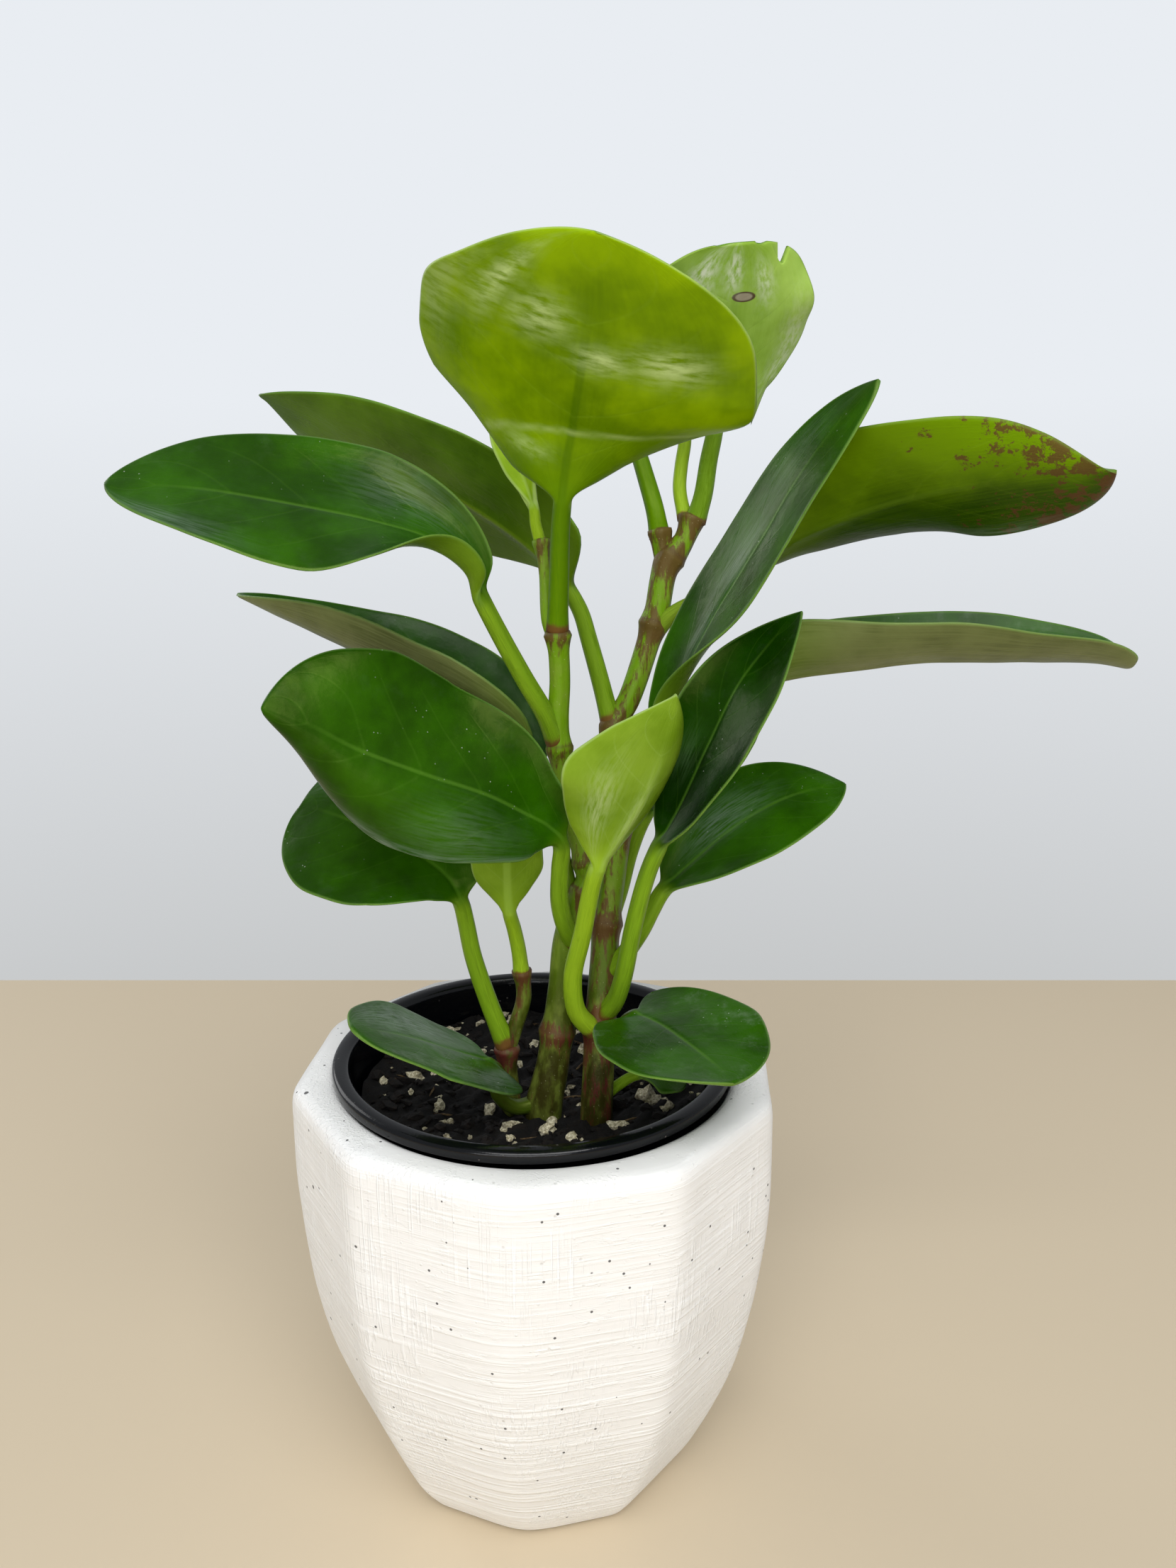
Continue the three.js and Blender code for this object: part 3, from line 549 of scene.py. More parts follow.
@dataclass(frozen=True)
class StemFinish:
    """Fleshy stem skin: green above, olive below, and red-brown streaks, thicker at the nodes."""

    name: str = "stem_skin"
    green: str = "658d06"
    olive: str = "2e2c0a"
    brown: str = "54191f"
    pale: str = "7c8e36"
    ring: str = "4a3320"
    dot: str = "c9c79a"
    tint: str = "f4f6c4"
    olive_height: float = 118.0
    green_height: float = 190.0

    def build(self) -> bpy.types.Material:
        """Makes the material.

        Returns:
            The new material.
        """
        s = Shading(bpy.data.materials.new(self.name))
        place = s.place()
        lengthwise = s.noise(s.stretch(place, (1.0, 1.0, 0.16)), 620, 6.0, 0.7)
        patch = s.noise(s.stretch(place, (1.0, 1.0, 0.45)), 230, 4.0, 0.6)
        low = s.step(s.mark("height"), self.green_height, self.olive_height)
        skin = s.blend(low, self.green, self.olive)
        skin = s.blend(s.step(patch, 0.4, 0.7, 0.0, 0.5), skin, self.pale)
        reddened = s.plus(s.times(s.mark("node"), 0.14), s.times(s.mark("blush"), 0.14))
        streaks = s.plus(s.times(lengthwise, 0.75), s.times(patch, 0.27))
        streaks = s.plus(streaks, reddened)
        skin = s.blend(s.step(streaks, 0.61, 0.72, 0.0, 0.8), skin, self.brown)
        skin = s.blend(s.times(s.mark("ring"), 0.7), skin, self.ring)
        skin = s.blend(s.times(s.dots(place, 900, 0.12, 0.05), 0.35), skin, self.dot)
        height = s.plus(s.times(lengthwise, 1.0), s.times(s.noise(place, 1400, 2.0), 0.3))
        rough = s.plus(s.times(patch, 0.25), 0.3)
        return s.finish(s.surface(
            skin, rough, Normal=s.relief(height, 0.25, 0.8), Specular_IOR_Level=0.32,
            Specular_Tint=self.tint,
        ))  # fmt: skip


@dataclass(frozen=True)
class PaintedClayFinish:
    """Thick matt white paint over clay, with brush lines both ways, pits and dark specks."""

    name: str = "painted_clay"
    white: str = "f4f4f3"
    shade: str = "ecebe9"
    speck: str = "3c3b3d"
    pit: str = "b4b2ae"

    def strokes(self, s: Shading, place: Socket) -> Socket:
        """Height of the brush strokes: upright ones in patches, level ones and dabs.

        Args:
            s: The finish's node tree.
            place: The point on the piece.

        Returns:
            The height.
        """
        fine_upright = s.noise(s.stretch(place, (1.0, 1.0, 0.012)), 1500, 2.0, 0.5)
        fine_level = s.noise(s.stretch(place, (0.035, 0.035, 1.0)), 900, 3.0, 0.55)
        broad = s.noise(s.stretch(place, (0.3, 0.3, 1.0), (0.3, 0.1, 0.2)), 420, 5.0, 0.65)
        where = s.step(s.noise(place, 34, 2.0), 0.42, 0.58)
        low = s.step(s.mark("height"), 95.0, 15.0)
        upright = s.times(s.step(fine_upright, 0.5, 0.68), s.times(where, 0.8))
        level = s.times(s.step(fine_level, 0.42, 0.68), s.plus(s.times(low, 0.7), 0.45))
        return s.plus(s.plus(upright, level), s.times(s.step(broad, 0.55, 0.7), 0.5))

    def build(self) -> bpy.types.Material:
        """Makes the material.

        Returns:
            The new material.
        """
        s = Shading(bpy.data.materials.new(self.name))
        place = s.place()
        strokes = self.strokes(s, place)
        pits = s.dots(place, 190, 0.1, 0.03)
        grit = s.dots(s.stretch(place, (1, 1, 1), (3.1, 1.7, 0.4)), 300, 0.12, 0.05)
        height = s.plus(s.calc("SUBTRACT", strokes, s.times(pits, 0.6)), s.times(grit, 0.5))
        bumps = s.relief(s.noise(place, 60, 3.0), 1.0, 0.6, s.relief(height, 0.3, 0.62))
        tone = s.blend(s.step(strokes, 0.1, 0.9), self.shade, self.white)
        small = s.dots(s.stretch(place, (1, 1, 1), (0.7, 2.3, 1.1)), 190, 0.075, 0.055)
        large = s.dots(s.stretch(place, (1, 1, 1.3), (1.9, 0.2, 2.7)), 62, 0.045, 0.036)
        tone = s.blend(s.times(s.calc("MAXIMUM", small, large), 0.9), tone, self.speck)
        tone = s.blend(s.times(pits, 0.3), tone, self.pit)
        return s.finish(s.surface(tone, 0.72, Normal=bumps, Specular_IOR_Level=0.35))


@dataclass(frozen=True)
class BlackPlasticFinish:
    """Moulded black plastic with fine scuffs and a little dried soil."""

    name: str = "black_plastic"
    black: str = "050609"
    dust: str = "77706a"

    def build(self) -> bpy.types.Material:
        """Makes the material.

        Returns:
            The new material.
        """
        s = Shading(bpy.data.materials.new(self.name))
        place = s.place()
        scuffs = s.noise(s.stretch(place, (1.0, 1.0, 5.0)), 260, 6.0, 0.7)
        rare = s.step(s.noise(place, 60, 3.0), 0.52, 0.66)
        dirt = s.times(s.dots(place, 520, 0.17, 0.08), rare)
        colour = s.blend(s.step(scuffs, 0.6, 0.85, 0.0, 0.03), self.black, self.dust)
        colour = s.blend(s.times(dirt, 0.6), colour, self.dust)
        rough = s.plus(s.times(s.step(scuffs, 0.45, 0.8), 0.12), 0.13)
        rough = s.plus(rough, s.times(dirt, 0.4))
        grain = s.times(s.noise(place, 1800, 2.0), 0.4)
        bumps = s.relief(s.plus(grain, dirt), 0.09, 0.6)
        return s.finish(s.surface(colour, rough, Normal=bumps, Specular_IOR_Level=0.32))


@dataclass(frozen=True)
class SoilFinish:
    """Damp dark potting mix, or the paler crumbs of bark in it."""

    name: str
    dark: str = "030202"
    light: str = "110b07"
    relief: float = 1.0

    def build(self) -> bpy.types.Material:
        """Makes the material.

        Returns:
            The new material.
        """
        s = Shading(bpy.data.materials.new(self.name))
        place = s.place()
        lumps = s.noise(place, 420, 8.0, 0.75)
        shade = s.noise(place, 90, 3.0)
        colour = s.blend(s.step(lumps, 0.38, 0.72), self.dark, self.light)
        colour = s.blend(s.step(shade, 0.45, 0.75, 0.0, 0.6), colour, self.dark)
        bumps = s.relief(lumps, self.relief, 0.9)
        rough = s.plus(s.times(shade, 0.3), 0.68)
        return s.finish(s.surface(colour, rough, Normal=bumps, Specular_IOR_Level=0.3))


@dataclass(frozen=True)
class PerliteFinish:
    """Chalky white grains, stained by the soil."""

    name: str = "perlite"
    hollow: str = "9a9070"
    chalk: str = "e6dec2"
    stain: str = "4a3c22"

    def build(self) -> bpy.types.Material:
        """Makes the material.

        Returns:
            The new material.
        """
        s = Shading(bpy.data.materials.new(self.name))
        place = s.place()
        pores = s.noise(place, 1500, 5.0, 0.7)
        stain = s.step(s.noise(place, 330, 4.0, 0.7), 0.5, 0.68, 0.0, 0.7)
        colour = s.blend(s.step(pores, 0.4, 0.62), self.hollow, self.chalk)
        colour = s.blend(stain, colour, self.stain)
        return s.finish(s.surface(colour, 0.85, Normal=s.relief(pores, 0.3, 0.9)))


@dataclass(frozen=True)
class FloorFinish:
    """Even matt paint of the studio floor."""

    name: str = "floor_paint"
    colour: str = "d0c0a5"

    def build(self) -> bpy.types.Material:
        """Makes the material.

        Returns:
            The new material.
        """
        s = Shading(bpy.data.materials.new(self.name))
        return s.finish(s.surface(self.colour, 0.7))


@dataclass(frozen=True)
class CoverPot:
    """White cover pot: ten flat sides that swell upwards under a nearly flat rim, in mm.

    A foot or rim point is a corner radius, a height and a roundness, 0 for flat sides and 1 for a
    circle. A higher corner number is a sharper corner, and the front one is worn. The worn reach
    and fade are angles in radians.
    """

    sides: int = 10
    turn: float = math.radians(-4)
    foot_radius: float = 41.5
    belly_radius: float = 66.3
    belly_height: float = 106.0
    swell_power: float = 2.6
    corner: float = 70.0
    worn_corner: float = 26.0
    worn_reach: float = 0.12
    worn_fade: float = 0.3
    hand_work: tuple[Triple, ...] = ((34.0, 3.0, 0.45), (11.0, 9.0, 0.12))
    faces: tuple[int, int] = (300, 210)
    foot: tuple[Triple, ...] = (
        (0.0, 0.0, 0.0), (26.0, 0.0, 0.0), (38.6, 0.0, 0.0), (40.6, 0.25, 0.0), (41.5, 1.4, 0.0),
    )  # fmt: skip
    rim: tuple[Triple, ...] = (
        (66.2, 112.5, 0.0), (65.5, 114.6, 0.04), (63.8, 115.7, 0.12), (59.5, 116.0, 0.4),
        (55.0, 115.6, 0.9), (53.3, 114.8, 1.0), (52.4, 113.2, 1.0), (51.8, 104.0, 1.0),
        (50.5, 76.0, 1.0), (47.0, 48.0, 1.0), (41.0, 26.0, 1.0), (35.0, 13.0, 1.0),
        (31.0, 10.4, 1.0), (24.0, 10.0, 1.0), (0.0, 10.0, 1.0),
    )  # fmt: skip

    def profile(self, along: np.ndarray) -> np.ndarray:
        """Section of the pot.

        Args:
            along: Shares from the middle of the foot to the middle of the inner floor.

        Returns:
            Rows of corner radius, height and roundness, which is 0 where the sides are flat.
        """
        wall = []
        for height in np.linspace(9.0, self.belly_height, 9):
            below = (self.belly_height - height) / self.belly_height
            swell = (self.belly_radius - self.foot_radius) * below**self.swell_power
            wall.append((self.belly_radius - swell, float(height), 0.0))
        route = Route((*self.foot, *wall, *self.rim))
        share, lengths = route.lengths()
        return route.at(np.interp(along * lengths[-1], lengths, share))

    def side_reach(self, angle: np.ndarray, radius: np.ndarray) -> np.ndarray:
        """Distance of the ten-sided wall from the axis, with soft corners.

        Args:
            angle: Angles from the front corner.
            radius: Radius to the corners at each angle.

        Returns:
            The distance at each angle, with the front corner worn rounder than the others.
        """
        half = math.pi / self.sides
        facing = np.cos(angle[:, None] - half - 2 * half * np.arange(self.sides)[None, :])
        from_front = np.minimum(angle, FULL_TURN - angle)
        worn = smooth((from_front - self.worn_reach) / self.worn_fade)
        corner = mix(self.worn_corner, self.corner, worn)
        near = np.sum(np.clip(facing, 0.0, None) ** corner[:, None], axis=1) ** (1 / corner)
        return radius * math.cos(half) / near

    def skin(self, around: np.ndarray, along: np.ndarray) -> tuple[np.ndarray, Marks]:
        """Skin for the wrapped grid.

        Args:
            around: Shares round the pot.
            along: Shares along its section.

        Returns:
            Places in mm, and their heights as a mark.
        """
        radius, height, roundness = self.profile(along).T
        roundness = np.clip(roundness, 0.0, 1.0)
        angle = around * FULL_TURN
        flat = self.side_reach(angle, radius)
        circle = radius * np.where(roundness > 0.9, 1.0, math.cos(math.pi / self.sides / 2))
        reach = np.maximum(mix(flat, circle, roundness), 0.0)
        turned = angle + self.turn
        hand = ripples(round_axis(reach, turned, height), self.hand_work)
        outside = (height > 2.0) & (roundness < 0.5)
        reach = reach + np.where(outside, hand - 0.2, 0.0) * smooth((height - 2.0) / 12.0)
        return round_axis(reach, turned, height), {"height": height}

    def build(self) -> bpy.types.Object:
        """Makes the pot and gives it its paint.

        Returns:
            The new object.
        """
        pot = wrap("cover_pot_body", *self.faces, self.skin)
        pot.data.materials.append(PaintedClayFinish().build())
        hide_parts("cover_pot")
        return pot


@dataclass(frozen=True)
class NurseryPot:
    """Black nursery pot in mm: a tapered thin wall under a thick lip, and a drilled floor."""

    centre: float = -1.0
    lip_radius: float = 54.0
    lip_top: float = 119.4
    lip_under: float = 116.0
    lip_inner: float = 49.2
    top_radius: float = 50.2
    foot_radius: float = 37.0
    foot_height: float = 22.0
    wall: float = 1.4
    holes: int = 6
    hole_radius: float = 4.0
    hole_circle: float = 27.0
    edge_radius: float = 1.0
    edge_parts: int = 4
    steps: int = 192

    def radius_at(self, height: float) -> float:
        """Outer radius of the wall at a height in mm."""
        rise = (height - self.foot_height) / (self.lip_under - self.foot_height)
        return self.foot_radius + (self.top_radius - self.foot_radius) * rise

    def profile(self) -> list[Pair]:
        """Section of the pot.

        Returns:
            Radius and height in mm, from the middle of its underside to the middle of its floor.
        """
        floor = self.foot_height + self.wall
        return self.round_corners([
            (0.0, self.foot_height),
            (self.foot_radius - 0.5, self.foot_height),
            (self.top_radius, self.lip_under),
            (self.lip_radius - 0.3, self.lip_under),
            (self.lip_radius, self.lip_under + 1.2),
            (self.lip_radius - 0.15, self.lip_top - 0.5),
            (self.lip_radius - 1.8, self.lip_top),
            (self.lip_inner + 0.9, self.lip_top - 0.2),
            (self.lip_inner, self.lip_top - 1.4),
            (self.top_radius - self.wall, self.lip_under - 1.2),
            (self.radius_at(floor) - self.wall, floor),
            (0.0, floor),
        ])  # fmt: skip

    def round_corners(self, profile: list[Pair]) -> list[Pair]:
        """Profile with each inner corner drawn as a short curve.

        Args:
            profile: Corner points as radius and height in mm.

        Returns:
            The rounded profile.
        """
        done = [profile[0]]
        for before, corner, after in zip(profile, profile[1:], profile[2:], strict=False):
            here = Vector(corner)
            into = Vector(before) - here
            out = Vector(after) - here
            start = here + into.normalized() * min(self.edge_radius, into.length * 0.45)
            end = here + out.normalized() * min(self.edge_radius, out.length * 0.45)
            for k in range(self.edge_parts + 1):
                t = k / self.edge_parts
                done.append(tuple(start * (1 - t) ** 2 + here * 2 * t * (1 - t) + end * t * t))
        return [*done, profile[-1]]

    def turned(self) -> bpy.types.Object:
        """Turns the pot's section round its axis, as on a lathe.

        Returns:
            The new object.
        """
        shell = bmesh.new()
        profile = self.profile()
        verts = [shell.verts.new((radius * MM, 0.0, height * MM)) for radius, height in profile]
        edges = [shell.edges.new(pair) for pair in zip(verts, verts[1:], strict=False)]
        bmesh.ops.spin(
            shell, geom=verts + edges, angle=FULL_TURN, steps=self.steps, axis=(0, 0, 1),
            cent=(0, 0, 0), use_merge=True,
        )  # fmt: skip
        bmesh.ops.remove_doubles(shell, verts=shell.verts, dist=WELD)
        bmesh.ops.translate(shell, verts=shell.verts, vec=(self.centre * MM, 0.0, 0.0))
        return as_piece("nursery_pot_body", shell)

    def drill_holes(self, pot: bpy.types.Object) -> None:
        """Cuts the drain holes through the pot's floor.

        Args:
            pot: The pot's body.
        """
        drills = bmesh.new()
        for k in range(self.holes):
            angle = FULL_TURN * k / self.holes
            x = self.centre + self.hole_circle * math.cos(angle)
            spot = (x, self.hole_circle * math.sin(angle), self.foot_height + self.wall / 2)
            bmesh.ops.create_cone(
                drills, cap_ends=True, segments=32, radius1=self.hole_radius * MM,
                radius2=self.hole_radius * MM, depth=8 * MM,
                matrix=Matrix.Translation(Vector(spot) * MM),
            )  # fmt: skip
        tool = new_object("drills", drills)
        cut = pot.modifiers.new("drain_holes", "BOOLEAN")
        cut.operation = "DIFFERENCE"
        cut.solver = "EXACT"
        cut.object = tool
        shown = pot.evaluated_get(bpy.context.evaluated_depsgraph_get())
        finished = bpy.data.meshes.new_from_object(shown)
        pot.modifiers.clear()
        pot.data = finished
        bpy.data.objects.remove(tool)

    def build(self) -> bpy.types.Object:
        """Makes the pot, drills it and gives it its plastic.

        Returns:
            The new object.
        """
        pot = self.turned()
        self.drill_holes(pot)
        pot.data.materials.append(BlackPlasticFinish().build())
        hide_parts("nursery_pot")
        return pot


@dataclass(frozen=True)
class Heap:
    """Rough lumps on the potting mix: length and height as shares of their radius, and finish."""

    name: str
    finish: SoilFinish | PerliteFinish
    length: float
    flat: float
    seed: int
    detail: int = 2

    def lump(self, heap: bmesh.types.BMesh, dice: random.Random, size: float, spot: Point) -> None:
        """Adds one dented, stretched and turned lump.

        Args:
            heap: The mesh to add it to.
            dice: The seeded numbers to use.
            size: Its radius in mm.
            spot: Its middle in mm.
        """
        made = bmesh.ops.create_icosphere(heap, subdivisions=self.detail, radius=size * MM)["verts"]
        shift = dice.random() * 50
        for vert in made:
            outward = vert.co.normalized()
            dent = noise.noise(outward * 1.3 + Vector((shift, 0, 0)))
            dent += 0.6 * noise.noise(outward * 3.1 + Vector((0, shift, 0)))
            vert.co *= 1.0 + 0.6 * dent
        length = self.length * dice.uniform(0.8, 1.3)
        width = dice.uniform(0.6, 1.0)
        stretch = Matrix.Diagonal((length, width, self.flat * dice.uniform(0.8, 1.2), 1))
        turn = Matrix.Rotation(dice.uniform(0, FULL_TURN), 4, "Z")
        tilt = Matrix.Rotation(dice.uniform(-0.6, 0.6), 4, "X")
        move = Matrix.Translation(Vector(spot) * MM)
        bmesh.ops.transform(heap, matrix=move @ (turn @ tilt) @ stretch, verts=made)


@dataclass(frozen=True)
class PottingMix:
    """Potting mix: a slightly hollow, lumpy surface with bark crumbs, fibres and white grains.

    Clods are ripples of the surface. Side rows are the shares along the skin where its side
    starts and ends. A front grain is its X, Y and radius.
    """

    pot: NurseryPot
    feet: tuple[Pair, ...]
    level: float = 109.0
    dish: float = 2.2
    lump: float = 0.5
    clods: tuple[Triple, ...] = ((4.2, 1.0, 0.8), (1.9, 5.0, 0.5), (0.9, 7.0, 0.28))
    side_rows: Pair = (0.04, 0.16)
    grain_count: int = 26
    grain_seed: int = 11
    grain_sizes: Pair = (0.9, 2.1)
    small_grains: int = 110
    front_grains: tuple[Triple, ...] = (
        (19.5, 14.0, 2.3), (4.3, -23.5, 2.1), (-11.4, -12.2, 2.4), (29.9, -6.5, 2.9),
        (22.8, -21.3, 2.1), (-5.9, -21.8, 1.9), (5.5, -19.0, 1.6), (-24.7, -10.6, 1.8),
        (-32.0, 1.6, 1.1), (-42.0, 1.6, 1.3), (10.7, -27.2, 1.6), (-4.9, -28.2, 1.2),
        (36.5, -11.5, 1.4), (-21.1, -18.6, 1.0), (-3.2, -21.3, 1.3),
    )  # fmt: skip
    small_grain_seed: int = 5
    crumbs: int = 620
    fibres: int = 26
    crumb_seed: int = 21

    def height(self, x: np.ndarray, y: np.ndarray) -> np.ndarray:
        """Height of the surface in mm, at distances from the pot's axis."""
        from_middle = np.hypot(x, y) / self.pot.top_radius
        lumps = np.sin(x * 0.41 + 1.3) * np.cos(y * 0.37) + np.sin(x * 0.93 - y * 0.71)
        return self.level - self.dish * (1 - from_middle**2) + self.lump * lumps

    def skin(self, around: np.ndarray, along: np.ndarray) -> tuple[np.ndarray, Marks]:
        """Skin for the wrapped grid.

        Args:
            around: Shares round the mix.
            along: Shares from the middle of its underside over its edge to the middle of its top.

        Returns:
            Places in mm, and no marks.
        """
        floor = self.pot.foot_height + self.pot.wall + 0.3
        clear = self.pot.wall + 0.4
        foot = self.pot.radius_at(floor) - clear
        edge = self.pot.radius_at(self.level - 4) - clear
        side_start, top_start = self.side_rows
        radius = np.interp(along, [0.0, side_start, top_start, 1.0], [0.0, foot, edge, 0.0])
        angle = around * FULL_TURN
        x, y = radius * np.cos(angle), radius * np.sin(angle)
        top = self.height(x, y)
        spots = np.stack([x, y, top], axis=1)
        top = top + ripples(spots, self.clods) * smooth((along - top_start) / 0.03)
        side = mix(floor, top, smooth((along - side_start) / 0.12))
        z = np.where(along < 0.05, floor, np.where(along < top_start, side, top))
        return np.stack([x + self.pot.centre, y, z], axis=1), {}

    def is_clear(self, x: float, y: float, reach: float) -> bool:
        """Whether a spot is farther than reach from every stem."""
        return all(math.hypot(x + self.pot.centre - fx, y - fy) > reach for fx, fy in self.feet)

    def random_spots(self, dice: random.Random, count: int, margin: float) -> list[Pair]:
        """Spots on the surface, measured from the pot's axis and kept off the stems.

        Args:
            dice: The seeded numbers to use.
            count: How many spots.
            margin: Clear distance to the pot's wall in mm.

        Returns:
            X and Y of each spot in mm.
        """
        spots: list[Pair] = []
        while len(spots) < count:
            angle = FULL_TURN * dice.random()
            far = (self.pot.top_radius - margin) * math.sqrt(dice.random())
            x, y = far * math.cos(angle), far * math.sin(angle)
            if self.is_clear(x, y, reach=5.5):
                spots.append((x, y))
        return spots

    def scatter(self, heap: Heap, sizes: list[Triple]) -> None:
        """Makes one piece of many lumps that lie on the surface.

        Args:
            heap: The lumps' name, form and finish.
            sizes: X, Y and radius of each lump in mm, measured from the pot's axis.
        """
        dice = random.Random(heap.seed)
        shell = bmesh.new()
        for x, y, size in sizes:
            z = float(self.height(np.array(x), np.array(y))) + size * 0.2
            heap.lump(shell, dice, size, (x + self.pot.centre, y, z))
        piece = as_piece(heap.name, shell, smooth_faces=False)
        piece.data.materials.append(heap.finish.build())

    def white_grains(self) -> list[Triple]:
        """White grains: the large ones of the model, those near the front and smaller ones.

        Returns:
            X, Y and radius of each in mm, measured from the pot's axis.
        """
        draws = steady_draws(self.grain_seed)
        smallest, largest = self.grain_sizes
        grains: list[Triple] = []
        while len(grains) < self.grain_count:
            angle = FULL_TURN * next(draws)
            far = (self.pot.top_radius - 7) * math.sqrt(next(draws))
            x, y = far * math.cos(angle), far * math.sin(angle)
            size = smallest + (largest - smallest) * next(draws) ** 2
            next(draws)
            if self.is_clear(x, y, reach=8):
                grains.append((x, y, size))
        dice = random.Random(self.small_grain_seed)
        spots = self.random_spots(dice, self.small_grains, margin=4.0)
        small = [(x, y, dice.uniform(0.35, 1.0)) for x, y in spots]
        return [*grains, *self.front_grains, *small]

    def build(self) -> None:
        """Makes the mix, its crumbs, fibres and grains."""
        bed = wrap("potting_mix", around=200, rows=120, skin=self.skin)
        bed.data.materials.append(SoilFinish("damp_soil").build())
        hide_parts("soil")
        dice = random.Random(self.crumb_seed)
        spots = self.random_spots(dice, self.crumbs, margin=4.5)
        crumbs = [(x, y, 0.5 + 1.6 * dice.random() ** 2.2) for x, y in spots]
        bark = SoilFinish("bark", dark="050302", light="1d130b", relief=0.6)
        self.scatter(Heap("bark_crumbs", bark, length=1.2, flat=0.6, seed=31, detail=1), crumbs)
        spots = self.random_spots(dice, self.fibres, margin=8.0)
        thin = [(x, y, dice.uniform(0.22, 0.4)) for x, y in spots]
        fibre = SoilFinish("fibre", dark="3a2a1a", light="8a7450", relief=0.4)
        self.scatter(Heap("root_fibres", fibre, length=9.0, flat=1.0, seed=51), thin)
        perlite = Heap("perlite_grains", PerliteFinish(), length=1.1, flat=0.85, seed=41)
        self.scatter(perlite, self.white_grains())


@dataclass(frozen=True)
class Branch:
    """One round branch: its route in mm, the radius at route points and its nodes' heights.

    A node's swell and the ring on it each have a height and a half length in mm.
    """

    route: Route
    radii: tuple[float, ...]
    nodes: tuple[float, ...]
    swell: Pair = (0.7, 2.6)
    ring: Pair = (0.22, 0.7)
    round_end: float = 1.6

    def sides(self, heading: np.ndarray) -> tuple[np.ndarray, np.ndarray]:
        """Two directions across the branch at each level, which turn with it but never twist.

        Args:
            heading: The branch's direction at each level.

        Returns:
            The two directions.
        """
        normals = np.empty_like(heading)
        normal = np.array([0.0, -1.0, 0.0])
        for k, ahead in enumerate(heading):
            normal = normal - ahead * normal.dot(ahead)
            normal = normal / np.linalg.norm(normal)
            normals[k] = normal
        return normals, np.cross(heading, normals)

    def skin(self, around: np.ndarray, along: np.ndarray) -> tuple[np.ndarray, Marks]:
        """Skin for the wrapped grid.

        Args:
            around: Shares round the branch.
            along: Shares from its foot to its end.

        Returns:
            Places in mm, with their nearness to a node, the nodes' rings and the height as marks.
        """
        levels, which = np.unique(np.round(along, 7), return_inverse=True)
        centre = self.route.at(levels)
        radius = np.interp(levels, np.linspace(0, 1, len(self.radii)), self.radii)
        node = np.zeros_like(levels)
        ring = np.zeros_like(levels)
        (swell, swell_reach), (thin, thin_reach) = self.swell, self.ring
        for height in self.nodes:
            off = centre[:, 2] - height
            radius = radius + swell * bell(off, swell_reach) + thin * bell(off, thin_reach)
            node = np.maximum(node, bell(off + 0.5, 3.6))
            ring = np.maximum(ring, bell(off - 0.9, 0.35))
        share, lengths = self.route.lengths()
        length = np.interp(levels, share, lengths)
        left = np.clip((lengths[-1] - length) / self.round_end, 0, 1)
        radius = radius * np.sqrt(np.clip(1 - (1 - left) ** 2, 0.002, 1))
        front, side = self.sides(self.route.heading(levels))
        angle = around * FULL_TURN
        # Five shallow furrows that wind slowly up the stem, and nine finer ones.
        furrow = 1 + 0.018 * np.cos(5 * angle + 0.05 * length[which]) + 0.012 * np.sin(9 * angle)
        reach = (radius[which] * furrow)[:, None]
        ahead, aside = np.cos(angle)[:, None], np.sin(angle)[:, None]
        spots = centre[which] + front[which] * ahead * reach + side[which] * aside * reach
        return spots, {"node": node[which], "ring": ring[which], "height": centre[which, 2]}


@dataclass(frozen=True)
class Stem:
    """One shoot that stands in the soil, with its short branches and how red it is."""

    name: str
    blush: float
    branches: tuple[Branch, ...]
    faces_around: int = 40
    row_length: float = 0.9

    def build(self, skin: bpy.types.Material) -> bpy.types.Object:
        """Makes the branches as one piece.

        Args:
            skin: The stems' finish.

        Returns:
            The new object.
        """
        limbs: list[bpy.types.Object] = []
        for k, branch in enumerate(self.branches):
            rows = int(branch.route.lengths()[1][-1] / self.row_length)
            limbs.append(wrap(f"{self.name}_limb_{k}", self.faces_around, rows, branch.skin))
        stem = bmesh.new()
        for limb in limbs:
            stem.from_mesh(limb.data)
            bpy.data.objects.remove(limb)
        layer = stem.verts.layers.float.new("blush")
        for vert in stem.verts:
            vert[layer] = self.blush
        piece = as_piece(f"{self.name}_skin", stem)
        piece.data.materials.append(skin)
        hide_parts(self.name)
        return piece


